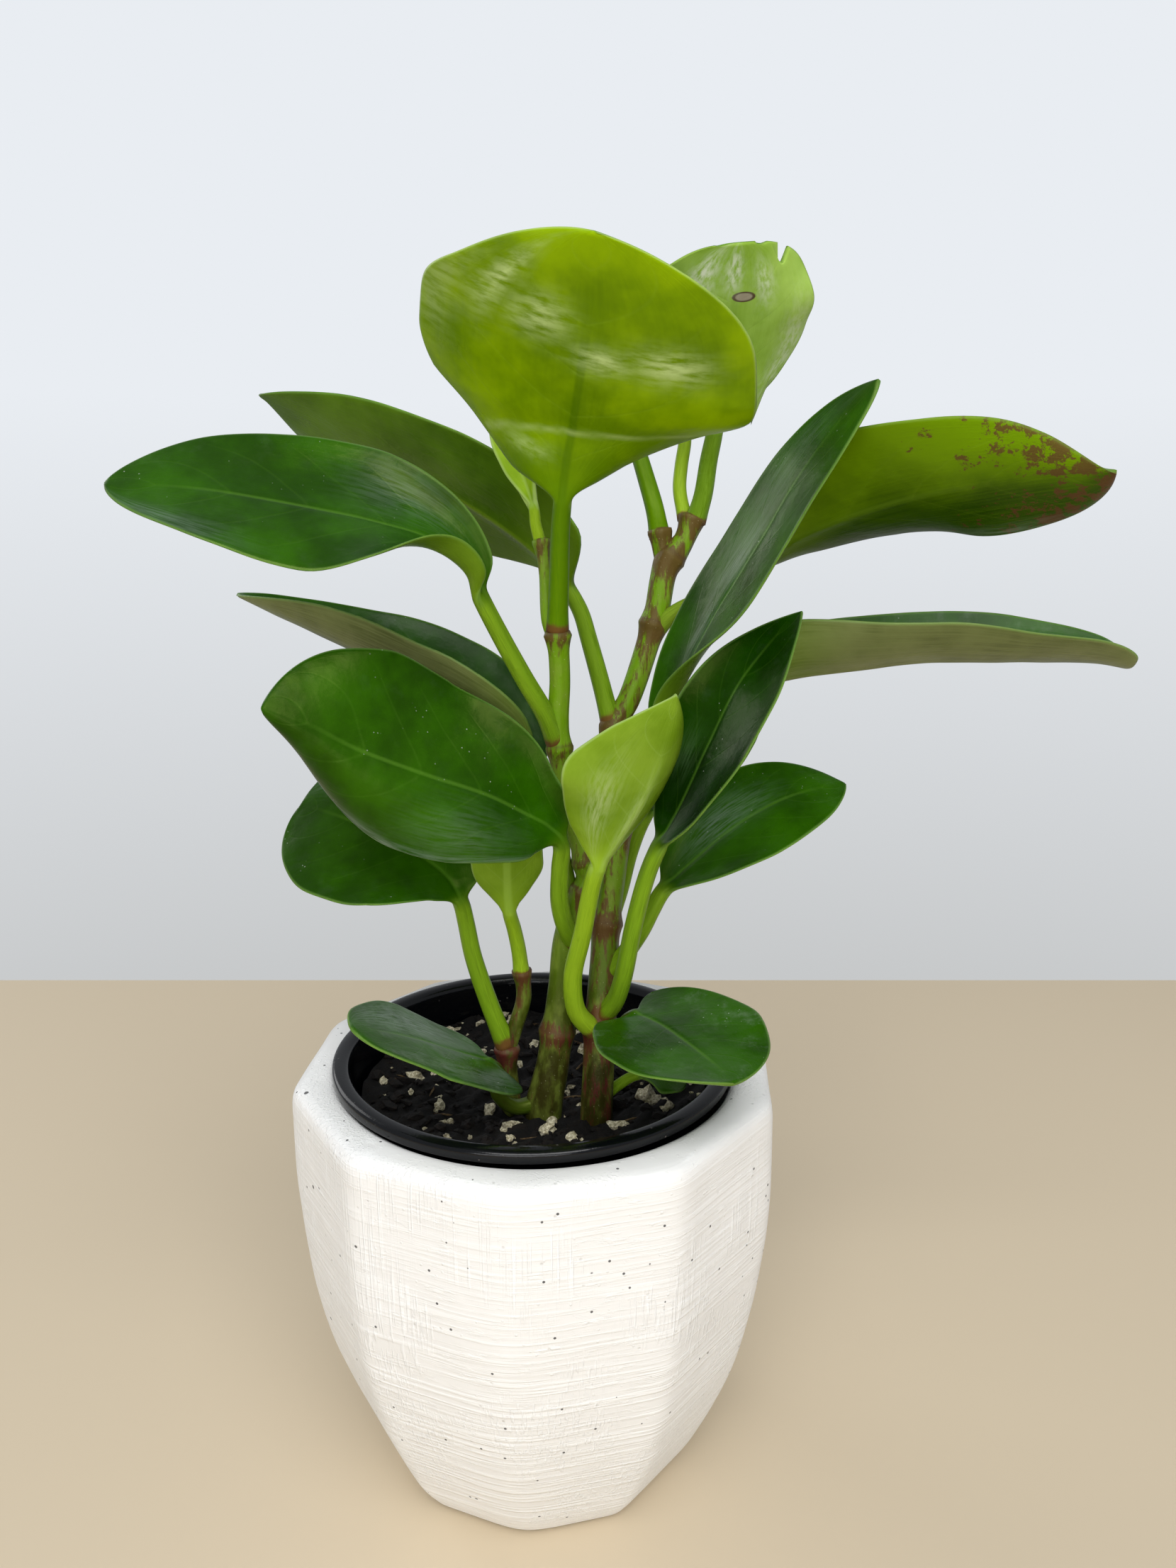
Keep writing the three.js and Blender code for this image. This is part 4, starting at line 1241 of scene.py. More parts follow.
class Tone(Enum):
    """How a leaf is coloured."""

    DARK = LeafFinish("leaf_dark_skin")
    DEEP = LeafFinish("leaf_deep_skin", deep="082300", light="123800", painted_highlight="4a6a40", shine=0.18)
    OLIVE = LeafFinish(
        "leaf_olive_skin", under_deep="505a2a", under_light="727c48", keel="6a7438", tint="f4f8ea",
        bloom=0.08, streaks=0.9, gloss=0.32,
    )  # fmt: skip
    # Darker under face for the leaf at the back that lies in shade: painted shade.
    SHADED = LeafFinish("leaf_shaded_skin", under_deep="3d600a", under_light="557c16", streaks=0.2)
    LOW = LeafFinish("leaf_low_skin", petiole="3f4a12", painted_highlight="8d9c92", bloom=0.16, shine=0.3)
    CROWN = LeafFinish(
        "leaf_crown_skin", deep="4c7a0a", light="6a9614", under_deep="668a00", under_light="92b600",
        vein="a4c850", rim="b4cc7c", petiole="527c02", keel="456c00", painted_highlight="d8efa4",
        grain=(5.0, 34.0), bloom=0.0, veins=0.04, streaks=0.1, glow=0.12, gloss=0.28,
    )  # fmt: skip
    YOUNG = LeafFinish(
        "leaf_young_skin", deep="6d9410", light="92b81c", under_deep="688b12", under_light="84a52c",
        vein="b8d47c", rim="b4cc84", petiole="98ba26", keel="98ba48", painted_highlight="cfdea4", bloom=0.0,
        veins=0.08, streaks=0.2, glow=0.14, gloss=0.3,
    )  # fmt: skip
    SCARRED = LeafFinish(
        "leaf_scarred_skin", deep="5b8a22", light="7ba630", under_deep="8cb43a",
        under_light="b2d664", vein="6f9a34", rim="6f8a44", petiole="648c14", keel="5e8620",
        painted_highlight="f0f6e0", grain=(16.0, 20.0), bloom=0.0, veins=0.04, streaks=0.15, glow=0.15,
        gloss=0.26, scar=True,
    )  # fmt: skip
    SPOTTED = LeafFinish(
        "leaf_spotted_skin", deep="3c6a12", light="55821c", under_deep="264400",
        under_light="6a9000", vein="90ae3c", rim="6f8a3c", petiole="86a42c", keel="5a7a18",
        painted_highlight="7f9080", bloom=0.0, veins=0.04, streaks=0.15, glow=0.08, gloss=0.32, spots=True,
    )  # fmt: skip


class Face(Enum):
    """Side of a leaf's blade."""

    UPPER = True
    UNDER = False


class Half(Enum):
    """Half of a leaf's blade, to one side of its midrib."""

    LEFT = True
    RIGHT = False


@dataclass(frozen=True)
class Nick:
    """Small gap in a leaf's edge: which half, how far along, how deep and how long as shares."""

    half: Half
    place: float
    depth: float
    length: float


@dataclass(frozen=True)
class Tear:
    """Narrow tear in a leaf's end: its distance from the midrib, depth and half width in mm."""

    across: float
    depth: float
    width: float


@dataclass(frozen=True)
class HighlightPatch:
    """Painted highlight on one face: its middle and half sizes as shares, and how clear it is."""

    face: Face
    spread: float
    place: float
    reach: float
    length: float
    strength: float


@dataclass(frozen=True)
class LeafGrid:
    """Where the points of a leaf's skin lie on the leaf.

    Place runs from -1 at the petiole's foot over 0 at the blade's base to 1 at its tip. Turn and
    spread run from 1 at the left edge to -1 at the right one, and formed from 0 where the section
    is the petiole's to 1 where it is the blade's.
    """

    place: np.ndarray
    turn: np.ndarray
    spread: np.ndarray
    is_upper: np.ndarray
    formed: np.ndarray

    @property
    def blade(self) -> np.ndarray:
        """Place along the blade, 0 on the petiole."""
        return np.maximum(self.place, 0)

    @property
    def left(self) -> np.ndarray:
        """Whether each point is on the left half."""
        return self.spread > 0

    @property
    def aside(self) -> np.ndarray:
        """Distance from the midrib as a share of the half width."""
        return np.abs(self.spread)

    @property
    def sign(self) -> np.ndarray:
        """1 on the upper face and -1 on the under one."""
        return np.where(self.is_upper, 1.0, -1.0)


@dataclass(frozen=True)
class Leaf:
    """Fleshy leaf on its petiole, with the model's sizes and the finer form of its skin, in mm.

    A shape is the place of the widest part, the flare at the base and the sharpness of the tip.
    A cup is the angle in degrees by which a half turns up at its base, middle and tip. Waves are
    the height, count and phase of the margin's waves. The rib and the keel are a depth and a half
    width, and the petiole's groove and swollen foot are given in the same way as shares.
    """

    name: str
    tone: Tone
    width: float
    shape: Triple
    petiole: tuple[Point, ...]
    midrib: tuple[Point, ...]
    face: tuple[Point, Point]
    cup: Triple
    left_cup: Triple | None = None
    left_shape: Triple | None = None
    left_reach: float = 1.0
    waves: Triple = (0.5, 2.2, 0.0)
    lobes: Pair = (0.0, 0.0)
    petiole_radii: Pair = (2.5, 2.1)
    crease: Triple | None = None
    nicks: tuple[Nick, ...] = ()
    tears: tuple[Tear, ...] = ()
    painted_highlights: tuple[HighlightPatch, ...] = ()
    columns: int = 72
    rows: int = 108
    stalk_rows: float = 0.22
    form_length: float = 0.08
    blade_thick: float = 1.3
    margin_thick: float = 0.75
    edge_round: float = 1.1
    rib: Pair = (0.3, 0.9)
    keel: Pair = (0.65, 1.7)
    groove: Pair = (0.16, 0.4)
    foot_swell: Pair = (0.12, 0.12)

    def grid(self, around: np.ndarray, along: np.ndarray) -> LeafGrid:
        """Lays the wrapped grid on the leaf.

        Args:
            around: Shares round the leaf.
            along: Shares from the petiole's foot to the leaf's tip.

        Returns:
            The points, closer together at the blade's ends and at its midrib and edges.
        """
        along = np.round(along, 7)
        on_blade = np.clip((along - self.stalk_rows) / (1 - self.stalk_rows), 0, 1)
        on_blade = 0.5 * (1 - np.cos(math.pi * on_blade)) * 0.9993
        place = np.where(along < self.stalk_rows, along / self.stalk_rows - 1, on_blade)
        is_upper = around < 0.5
        turn = np.where(is_upper, 1 - 4 * around, 4 * around - 3)
        spread = np.clip(turn - 0.8 * np.sin(FULL_TURN * turn) / FULL_TURN, -1, 1)
        formed = smooth(np.maximum(place, 0) / self.form_length)
        return LeafGrid(place, turn, spread, is_upper, np.where(place < 0, 0.0, formed))

    def outline(self, place: np.ndarray, shape: Triple) -> np.ndarray:
        """Share of the full width at places along the blade, 0 at its base and 1 at its widest.

        Args:
            place: Places along the blade.
            shape: The half's shape.

        Returns:
            The share at each place.
        """
        widest, flare, tip = shape
        before = np.sin(np.clip(place / widest, 0, 1) * math.pi / 2) ** flare
        beyond = np.clip((place - widest) / (1 - widest), 0, 1)
        return np.where(place < widest, before, (1 - beyond**2.2) ** tip)

    def half_cup(self, cup: Triple, place: np.ndarray) -> np.ndarray:
        """Angle by which one half turns up.

        Args:
            cup: The half's cup.
            place: Places along the blade.

        Returns:
            The angle in radians at each place, never quite 0.
        """
        first = mix(cup[0], cup[1], smooth(place * 2))
        last = mix(cup[1], cup[2], smooth(place * 2 - 1))
        turn = np.radians(np.where(place < 0.5, first, last))
        return np.where(np.abs(turn) < 1e-4, 1e-4, turn)

    def spine(self, place: np.ndarray) -> tuple[np.ndarray, np.ndarray, np.ndarray, np.ndarray]:
        """Middle line of the leaf.

        Args:
            place: Places from -1 to 1.

        Returns:
            The points, and the upward, sideways and forward directions there.
        """
        route = Route((*self.petiole, *self.midrib))
        share, lengths = route.lengths()
        spans = len(route.points) - 1
        stalk = np.interp(len(self.petiole) / spans, share, lengths)
        on_blade = mix(stalk, lengths[-1], np.maximum(place, 0))
        length = np.where(place < 0, stalk * (1 + place), on_blade)
        at = np.interp(length, lengths, share)
        heading = route.heading(at)
        base, tip = (np.array(face, float) / np.linalg.norm(face) for face in self.face)
        upward = base + (tip - base) * np.maximum(place, 0)[:, None]
        upward = unit(upward - heading * np.sum(upward * heading, axis=1, keepdims=True))
        return route.at(at), upward, np.cross(upward, heading), heading

    def stalk_radius(self, grid: LeafGrid) -> np.ndarray:
        """Radius of the petiole, which tapers from its foot to the blade."""
        return mix(*self.petiole_radii, np.minimum(1, 1 + grid.place))

    def half_width(self, grid: LeafGrid) -> np.ndarray:
        """Width of each half, with its nicks and its slightly ruffled edge.

        Args:
            grid: The points on the leaf.

        Returns:
            The distance from the midrib to the edge, along the curved blade.
        """
        t, left = grid.blade, grid.left
        left_share = self.outline(t, self.left_shape or self.shape)
        share = np.where(left, left_share, self.outline(t, self.shape))
        half = self.width / 2 * share + self.stalk_radius(grid) * (1 - grid.formed)
        half = half * np.where(left, self.left_reach, 1.0)
        for nick in self.nicks:
            gap = 1 - nick.depth * np.exp(-(np.abs((t - nick.place) / nick.length) ** 3))
            half = half * np.where(left == nick.half.value, gap, 1.0)
        _, count, phase = self.waves
        ruffle = np.sin(FULL_TURN * count * 1.7 * t + phase * 3 + np.where(left, 0.0, 2.0))
        return half * (1 + 0.012 * ruffle * grid.formed)

    def thickness(self, grid: LeafGrid, half: np.ndarray) -> np.ndarray:
        """Distance from the blade's middle layer to its skin.

        Args:
            grid: The points on the leaf.
            half: The half width at each point.

        Returns:
            The distance, with a rounded edge, a sunk midrib above and a keel below.
        """
        t, spread = grid.blade, grid.spread
        inner = np.clip(1 - self.edge_round / np.maximum(half, 1.2), 0.0, 0.98)
        edge = np.clip((grid.aside - inner) / (1 - inner), 0, 1)
        rounded = np.sqrt(np.clip(1 - edge**2, 0, 1))
        thick = mix(self.blade_thick, self.margin_thick, spread * spread) / 2 * rounded
        thick = thick * np.sqrt(np.clip(1 - np.clip((t - 0.985) / 0.015, 0, 1) ** 2, 0.05, 1))
        across = spread * half
        (rib_depth, rib_width), (keel_depth, keel_width) = self.rib, self.keel
        rib = bell(across, rib_width) * smooth((0.95 - t) / 0.6) * smooth(t / 0.05)
        keel = bell(across, keel_width) * smooth((0.85 - t) / 0.8) * smooth(t / 0.05)
        return thick + np.where(grid.is_upper, -rib_depth * rib, keel_depth * keel)

    def blade_section(self, grid: LeafGrid, half: np.ndarray) -> tuple[np.ndarray, np.ndarray]:
        """Section of the blade, cupped and waved.

        Args:
            grid: The points on the leaf.
            half: The half width at each point.

        Returns:
            The distances sideways and upwards from the midrib.
        """
        t, left, aside, sign = grid.blade, grid.left, grid.aside, grid.sign
        left_cup = self.half_cup(self.left_cup or self.cup, t)
        whole = np.where(left, left_cup, self.half_cup(self.cup, t))
        bend = whole * aside
        reach = half * np.sin(bend) / whole
        lift = half * (1 - np.cos(bend)) / whole
        high, count, phase = self.waves
        swing = np.sin(FULL_TURN * count * t + phase + np.where(left, 0.0, 2.2))
        lift = lift + high * aside**2.5 * swing * smooth(t * 4)
        thick = self.thickness(grid, half)
        x = np.sign(grid.spread) * (reach - sign * thick * np.sin(bend))
        return x, lift + sign * thick * np.cos(bend)

    def stalk_section(self, grid: LeafGrid) -> tuple[np.ndarray, np.ndarray]:
        """Section of the petiole, swollen at its foot and grooved above.

        Args:
            grid: The points on the leaf.

        Returns:
            The distances sideways and upwards from its middle.
        """
        angle = (1 - grid.turn) / 2 * math.pi
        (swell_share, swell_reach), (groove_depth, groove_width) = self.foot_swell, self.groove
        swell = 1 + swell_share * bell(1 + grid.place, swell_reach)
        groove = np.where(grid.is_upper, groove_depth * bell(grid.turn, groove_width), 0.0)
        stalk = self.stalk_radius(grid)
        x = stalk * swell * np.cos(angle)
        return x, grid.sign * stalk * swell * (1 - groove) * np.sin(angle)

    def set_back(self, grid: LeafGrid, half: np.ndarray) -> np.ndarray:
        """Distance by which the skin is drawn back towards the petiole.

        Args:
            grid: The points on the leaf.
            half: The half width at each point.

        Returns:
            The distance, for the lobes at the base and the tears in the end.
        """
        t, aside = grid.blade, grid.aside
        back = np.where(grid.left, *self.lobes) * aside**1.2 * (1 - aside**5 / 2)
        back = back * (1 - smooth(t / 0.45)) * grid.formed
        for tear in self.tears:
            cut = np.clip(1 - np.abs(grid.spread * half - tear.across) / tear.width, 0, 1)
            cut = cut * (half > abs(tear.across))
            back = back + tear.depth * cut * smooth((aside - 0.55) / 0.45)
        return back

    def highlight_share(self, grid: LeafGrid) -> np.ndarray:
        """How strongly the painted highlights show.

        Args:
            grid: The points on the leaf.

        Returns:
            A share from 0 to 1 at each point.
        """
        mark = np.zeros_like(grid.place)
        for patch in self.painted_highlights:
            across = (grid.spread - patch.spread) / patch.reach
            far = across**2 + ((grid.blade - patch.place) / patch.length) ** 2
            is_there = grid.is_upper == patch.face.value
            mark = np.maximum(mark, np.where(is_there, patch.strength * np.exp(-far), 0.0))
        return mark

    def fold(self, grid: LeafGrid) -> tuple[np.ndarray, np.ndarray]:
        """Crease across the blade, where the leaf has one.

        Args:
            grid: The points on the leaf.

        Returns:
            Its height in mm, and the line of its painted highlight as a mark.
        """
        if self.crease is None:
            return np.zeros_like(grid.place), np.zeros_like(grid.place)
        off = grid.blade - np.interp(grid.spread, (-0.9, 0.0, 0.9), self.crease)
        height = 0.5 * bell(off, 0.05) * smooth((0.95 - grid.aside) / 0.3)
        return height, bell(off, 0.008) * (grid.aside < 0.85)

    def skin(self, around: np.ndarray, along: np.ndarray) -> tuple[np.ndarray, Marks]:
        """Skin for the wrapped grid.

        Args:
            around: Shares round the leaf.
            along: Shares from the petiole's foot to the leaf's tip.

        Returns:
            Places in mm, and the marks that the leaf's finish reads.
        """
        grid = self.grid(around, along)
        levels, which = np.unique(grid.place, return_inverse=True)
        centre, upward, sideways, forward = (part[which] for part in self.spine(levels))
        half = self.half_width(grid)
        flat_x, flat_y = self.blade_section(grid, half)
        round_x, round_y = self.stalk_section(grid)
        x = mix(round_x, flat_x, grid.formed)
        y = mix(round_y, flat_y, grid.formed)
        spots = centre + sideways * x[:, None] + upward * y[:, None]
        phase = self.waves[2]
        swells = ripples(spots, ((21.0, phase, 0.5), (8.0, phase + 4, 0.1)))
        spots = spots + upward * (swells * grid.formed)[:, None]
        height, crease = self.fold(grid)
        spots = spots + upward * height[:, None]
        spots = spots - forward * self.set_back(grid, half)[:, None]
        return spots, {
            "across": grid.spread * half,
            "edge": (1 - grid.aside) * half,
            "along": grid.place,
            "spread": grid.spread,
            "upper": grid.is_upper * 1.0,
            # Where the painted highlights lie.
            "painted_highlight": self.highlight_share(grid),
            # The line of the painted highlight along the crease.
            "crease": crease,
        }

    def build(self, skins: dict[Tone, bpy.types.Material]) -> bpy.types.Object:
        """Makes the leaf.

        Args:
            skins: The finish of each tone.

        Returns:
            The new object.
        """
        leaf = wrap(f"{self.name}_skin", self.columns, self.rows, self.skin)
        leaf.data.materials.append(skins[self.tone])
        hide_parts(self.name)
        return leaf


# fmt: off
STEMS = (
    Stem(
        name="stem_front",
        blush=0.25,
        branches=(
            Branch(
                Route((
                    (1.5, -13, 95), (2, -13, 108), (4.5, -13, 120.5), (6, -12.5, 131.5),
                    (7, -12, 142.5), (8, -12, 155.5), (11, -12, 165), (13.5, -12, 170.5),
                    (13, -12, 176), (9.5, -12, 189), (7, -12, 202.5), (6.5, -12.5, 212),
                    (7, -13, 222), (6.5, -14, 235),
                )),
                radii=(5, 5, 4.3, 4, 3.4, 3, 3, 2.9, 2.7, 2.6, 2.6, 2.6, 2.5, 2.5),
                nodes=(130, 168, 176, 205, 233),
            ),
            Branch(
                Route(((9.5, -12, 160), (9, -11, 170), (7.5, -10, 178), (6, -8.5, 187))),
                radii=(2, 1.7, 1.6, 1.6),
                nodes=(186,),
            ),
            Branch(
                Route(((6.5, -14, 230), (4.3, -12.5, 236), (3.5, -10, 247), (2.5, -9, 256))),
                radii=(1.5, 1.6, 1.4, 1.5),
                nodes=(255,),
            ),
        ),
    ),
    Stem(
        name="stem_right",
        blush=0.9,
        branches=(
            Branch(
                Route((
                    (16, -16, 95), (16, -16, 108), (16.5, -15, 120), (17, -13, 133), (18, -10, 148),
                    (18.5, -8, 158), (20.5, -5, 172), (22, -2, 184), (21.5, 1, 196), (20, 4, 206),
                    (24.5, 6, 214.5), (29.5, 9, 229), (31.5, 10, 236), (34, 12, 248),
                    (38.5, 13, 254.5), (41, 14, 261),
                )),
                radii=(4.3, 4.2, 4.1, 4, 3.7, 3.5, 3.2, 3, 2.9, 2.9, 2.9, 3, 3.2, 3.3, 2.7, 2.8),
                nodes=(131, 158, 183, 207, 233, 250, 260),
            ),
            Branch(
                Route(((34, 12, 246), (33, 13, 252), (32, 13.5, 258))),
                radii=(2.4, 2.6, 2.5),
                nodes=(257,),
            ),
        ),
    ),
    Stem(
        name="side_shoot",
        blush=0.6,
        branches=(
            Branch(
                Route(((-6.5, -11, 95), (-6.5, -11, 107), (-7.3, -11, 118), (-7.5, -11, 126))),
                radii=(2.6, 2.6, 2.5, 2.6),
                nodes=(124,),
            ),
            Branch(
                Route(((-7.5, -11, 123), (-5, -10.5, 131), (-3, -10, 138), (-3.4, -10.5, 147))),
                radii=(2, 2, 2, 1.9),
                nodes=(146,),
            ),
        ),
    ),
)

LEAVES = (
    Leaf(
        name="leaf_crown", tone=Tone.CROWN, width=81, shape=(0.42, 0.78, 0.64),
        petiole=((6.5, -14, 233.5), (7, -16.5, 246), (7.5, -20, 258)),
        midrib=(
            (8, -22, 263.5), (9, -25, 271.5), (10.5, -30, 279.5), (12.5, -40, 290), (14, -51, 301),
            (15, -61, 312.5),
        ),
        face=((2, 8, 4), (3, 8, 6)), cup=(40, 24, 14), left_cup=(72, 28, 14),
        left_shape=(0.42, 1.2, 0.66), left_reach=0.94, waves=(0.7, 1.6, 0.4),
        crease=(0.17, 0.27, 0.31),
        nicks=(Nick(Half.RIGHT, 0.16, 0.12, 0.09), Nick(Half.LEFT, 0.2, 0.08, 0.1)),
        painted_highlights=(
            HighlightPatch(Face.UNDER, -0.62, 0.76, 0.09, 0.14, 0.9),
            HighlightPatch(Face.UNDER, -0.28, 0.68, 0.15, 0.07, 0.85),
            HighlightPatch(Face.UNDER, 0.1, 0.58, 0.15, 0.04, 0.85),
            HighlightPatch(Face.UNDER, 0.5, 0.6, 0.2, 0.055, 0.85),
            HighlightPatch(Face.UNDER, -0.9, 0.62, 0.12, 0.2, 0.35),
            HighlightPatch(Face.UNDER, -0.4, 0.17, 0.2, 0.03, 0.45),
        ),
    ),
    Leaf(
        name="leaf_top_right", tone=Tone.SCARRED, width=45, shape=(0.6, 1, 0.36),
        petiole=((41.3, 13.8, 259), (43, 12, 265.5), (44, 9.5, 274)),
        midrib=((45, 7, 280.5), (46, 2, 293.5), (47, -5, 305), (47.5, -10, 313), (47.5, -14, 320)),
        face=((-1, 9, 3), (-2, 9, 4)), cup=(50, 20, 8), left_cup=(50, 35, 25),
        left_shape=(0.55, 1.0, 0.45), waves=(1.4, 2.4, 1.0), columns=144,
        tears=(Tear(10.5, 7.0, 2.4), Tear(4.0, 1.2, 3.0), Tear(-3.0, 1.0, 3.0)),
        painted_highlights=(
            HighlightPatch(Face.UNDER, -0.42, 0.85, 0.16, 0.12, 1.0),
            HighlightPatch(Face.UNDER, -0.05, 0.87, 0.1, 0.1, 0.95),
            HighlightPatch(Face.UNDER, 0.35, 0.8, 0.12, 0.1, 0.6),
            HighlightPatch(Face.UNDER, 0.8, 0.42, 0.16, 0.22, 0.6),
        ),
    ),
    Leaf(
        name="leaf_behind_crown", tone=Tone.CROWN, width=32, shape=(0.6, 1, 0.5),
        petiole=((32.3, 13.5, 255), (31, 15, 262), (28.5, 19, 271)),
        midrib=((26.5, 23, 278), (24, 32, 289), (22, 45, 299), (20, 60, 306)),
        face=((0, -6, 7), (0, -3, 9)), cup=(40, 20, 10), waves=(0.4, 1.7, 3.4),
    ),
    Leaf(
        name="leaf_young_right", tone=Tone.YOUNG, width=13, shape=(0.5, 1, 0.7),
        petiole=((38.8, 15, 259.5), (37.5, 18, 267), (38, 20.5, 273)),
        midrib=((39, 23, 279), (39.5, 28, 287), (41, 35, 296.5), (42, 40, 304)),
        face=((0, -7, 5), (0, -6, 6)), cup=(60, 50, 30), waves=(0.4, 1.7, 5.1),
        petiole_radii=(1.8, 1.7),
    ),
    Leaf(
        name="leaf_young_front", tone=Tone.YOUNG, width=8.5, shape=(0.5, 1, 0.7),
        petiole=((2.6, -9, 253.5), (2, -9, 256), (1.3, -8.9, 259)),
        midrib=((1, -8.7, 262), (-0.8, -7, 268), (-4.5, -3, 276), (-9.5, 1, 285)),
        face=((-4, -8, 3), (-3, -8, 4)), cup=(60, 45, 30), waves=(0.4, 1.7, 0.5),
        petiole_radii=(1.5, 1.3),
    ),
    Leaf(
        name="leaf_left_upper", tone=Tone.DARK, width=44, shape=(0.52, 0.8, 0.7),
        petiole=((6.5, -12, 205.5), (3.5, -15, 214), (-1.5, -18, 223.5), (-7, -21, 234.5)),
        midrib=(
            (-10.5, -23, 242), (-13.5, -25.5, 249.5), (-21, -28, 255.5), (-33, -31, 259.5),
            (-50, -33, 263), (-70, -35.5, 266.5), (-89, -38, 267.5),
        ),
        face=((3, -4, 7), (-1, -6, 8)), cup=(90, 22, 8), left_cup=(150, -8, 10), left_reach=0.9,
        waves=(0.6, 1.4, 2.0),
        painted_highlights=(
            HighlightPatch(Face.UPPER, 0.85, 0.85, 0.2, 0.16, 0.25),
            HighlightPatch(Face.UPPER, -0.6, 0.3, 0.4, 0.12, 0.2),
        ),
    ),
    Leaf(
        name="leaf_left_back", tone=Tone.SHADED, width=44, shape=(0.55, 1.2, 1.3),
        petiole=((20, 4, 207.5), (17, 7, 219), (14, 10, 229.5), (12, 12, 236)),
        midrib=(
            (9, 13.5, 241.5), (4.5, 15, 248), (-4.5, 18, 255.5), (-20, 22, 265.5), (-38, 25, 274.5),
            (-57, 28, 283), (-73, 30, 291.5),
        ),
        face=((6, 7, 5), (3, 4, 7)), cup=(20, -10, 0), left_cup=(0, 10, 8),
        left_shape=(0.36, 0.25, 0.8), left_reach=1.02, waves=(0.8, 1.6, 0.3),
        nicks=(Nick(Half.RIGHT, 0.8, 0.1, 0.012), Nick(Half.RIGHT, 0.86, 0.14, 0.014)),
        painted_highlights=(HighlightPatch(Face.UNDER, -0.95, 0.75, 0.3, 0.3, 0.5),),
    ),
    Leaf(
        name="leaf_left_middle", tone=Tone.OLIVE, width=48, shape=(0.38, 0.8, 0.85),
        petiole=((6, -8.5, 184.5), (5.2, -7.5, 188), (3.8, -6.2, 192)),
        midrib=(
            (2.2, -4.8, 195.5), (-2.5, -2, 202), (-9.5, 0, 208.5), (-20.5, 3, 215), (-34, 6, 221.5),
            (-49, 9, 228), (-63, 12, 234.5), (-77.5, 14, 241),
        ),
        face=((4, 1, 9), (3, 0, 9)), cup=(100, 66, 50), left_cup=(70, 62, 50),
        waves=(0.7, 1.5, 1.2),
        painted_highlights=(HighlightPatch(Face.UPPER, 0.5, 0.35, 0.6, 0.3, 0.4),),
    ),
    Leaf(
        name="leaf_left_front", tone=Tone.DARK, width=52, shape=(0.62, 0.7, 0.58),
        petiole=((10.5, -12, 154), (8.5, -15.5, 159), (6.8, -19, 167.5), (7, -21.5, 177)),
        midrib=(
            (7.3, -23, 183.5), (4.5, -25, 188.5), (-1, -27.5, 192.5), (-9, -31, 197.5),
            (-23, -36, 203.5), (-37, -41, 210.5), (-47.5, -44, 217), (-56.5, -46, 221),
        ),
        face=((3, -7, 6), (-1, -8, 6)), cup=(70, 6, 0), left_cup=(-10, -80, -170),
        left_shape=(0.5, 0.65, 0.8), left_reach=0.77, waves=(0.5, 1.3, 0.6),
        painted_highlights=(
            HighlightPatch(Face.UPPER, 0.6, 0.35, 0.35, 0.15, 0.12),
            HighlightPatch(Face.UPPER, 0.95, 0.6, 0.08, 0.4, 0.5),
        ),
    ),
    Leaf(
        name="leaf_left_lower", tone=Tone.DARK, width=46, shape=(0.55, 0.7, 0.5),
        petiole=((-7.5, -11, 124.5), (-12, -12.5, 138.5), (-15.5, -14, 151.5), (-17, -15, 161)),
        midrib=(
            (-18, -16, 166.5), (-21, -15.5, 172.5), (-30, -13.5, 179), (-42.5, -9, 184),
            (-53, -4, 186.5), (-61, 1, 187),
        ),
        face=((2, -7, 7), (-1, -7, 7)), cup=(50, 12, 8), waves=(0.4, 1.7, 2.7),
        painted_highlights=(HighlightPatch(Face.UPPER, -0.7, 0.85, 0.3, 0.12, 0.45),),
    ),
    Leaf(
        name="leaf_small_front", tone=Tone.YOUNG, width=18.5, shape=(0.5, 0.8, 0.5),
        petiole=((-3.4, -10.5, 145), (-4, -11, 151.5), (-5, -12.5, 158)),
        midrib=(
            (-6, -14.8, 163.5), (-6.2, -16.6, 169.5), (-6.2, -18, 177), (-6, -19, 185),
            (-5.5, -19.5, 191),
        ),
        face=((-1, 9, 2), (0, 9, 2)), cup=(40, 20, 10), waves=(0.4, 1.7, 4.4),
        petiole_radii=(2, 1.8),
    ),
    Leaf(
        name="leaf_low_left", tone=Tone.LOW, width=30, shape=(0.45, 0.5, 0.5),
        petiole=((1.8, -13, 110.5), (-5, -15.5, 110), (-9.5, -17, 114.5), (-9.5, -18.5, 121.5)),
        midrib=(
            (-11, -21, 125), (-18.5, -27, 131), (-26, -34, 137), (-33.5, -41, 142.5),
            (-40.5, -47, 147),
        ),
        face=((3, 1, 9), (2, -2, 9)), cup=(20, 10, 8), left_cup=(-32, -6, 6),
        left_shape=(0.4, 0.35, 0.6), waves=(0.4, 1.7, 6.1), lobes=(17.0, 4.0),
        petiole_radii=(2.3, 1.7),
        painted_highlights=(
            HighlightPatch(Face.UPPER, -0.5, 0.55, 0.45, 0.4, 0.55),
            HighlightPatch(Face.UPPER, 0.7, 0.4, 0.25, 0.4, 0.3),
        ),
    ),
    Leaf(
        name="leaf_low_right", tone=Tone.LOW, width=42, shape=(0.45, 0.5, 0.6),
        petiole=((16.8, -13.5, 128), (19.5, -16.5, 131), (22, -19, 134)),
        midrib=((25.5, -21.3, 138), (31, -29, 139.5), (38.5, -41.5, 139), (46.5, -56, 137.5)),
        face=((-1, -1, 9), (2, -3, 9)), cup=(20, 10, 8), waves=(0.4, 1.7, 1.6), lobes=(12.0, 9.0),
    ),
    Leaf(
        name="leaf_low_hidden", tone=Tone.DARK, width=13, shape=(0.5, 1, 0.5),
        petiole=((16, -15.5, 111), (21, -12.5, 114), (25, -11, 116)),
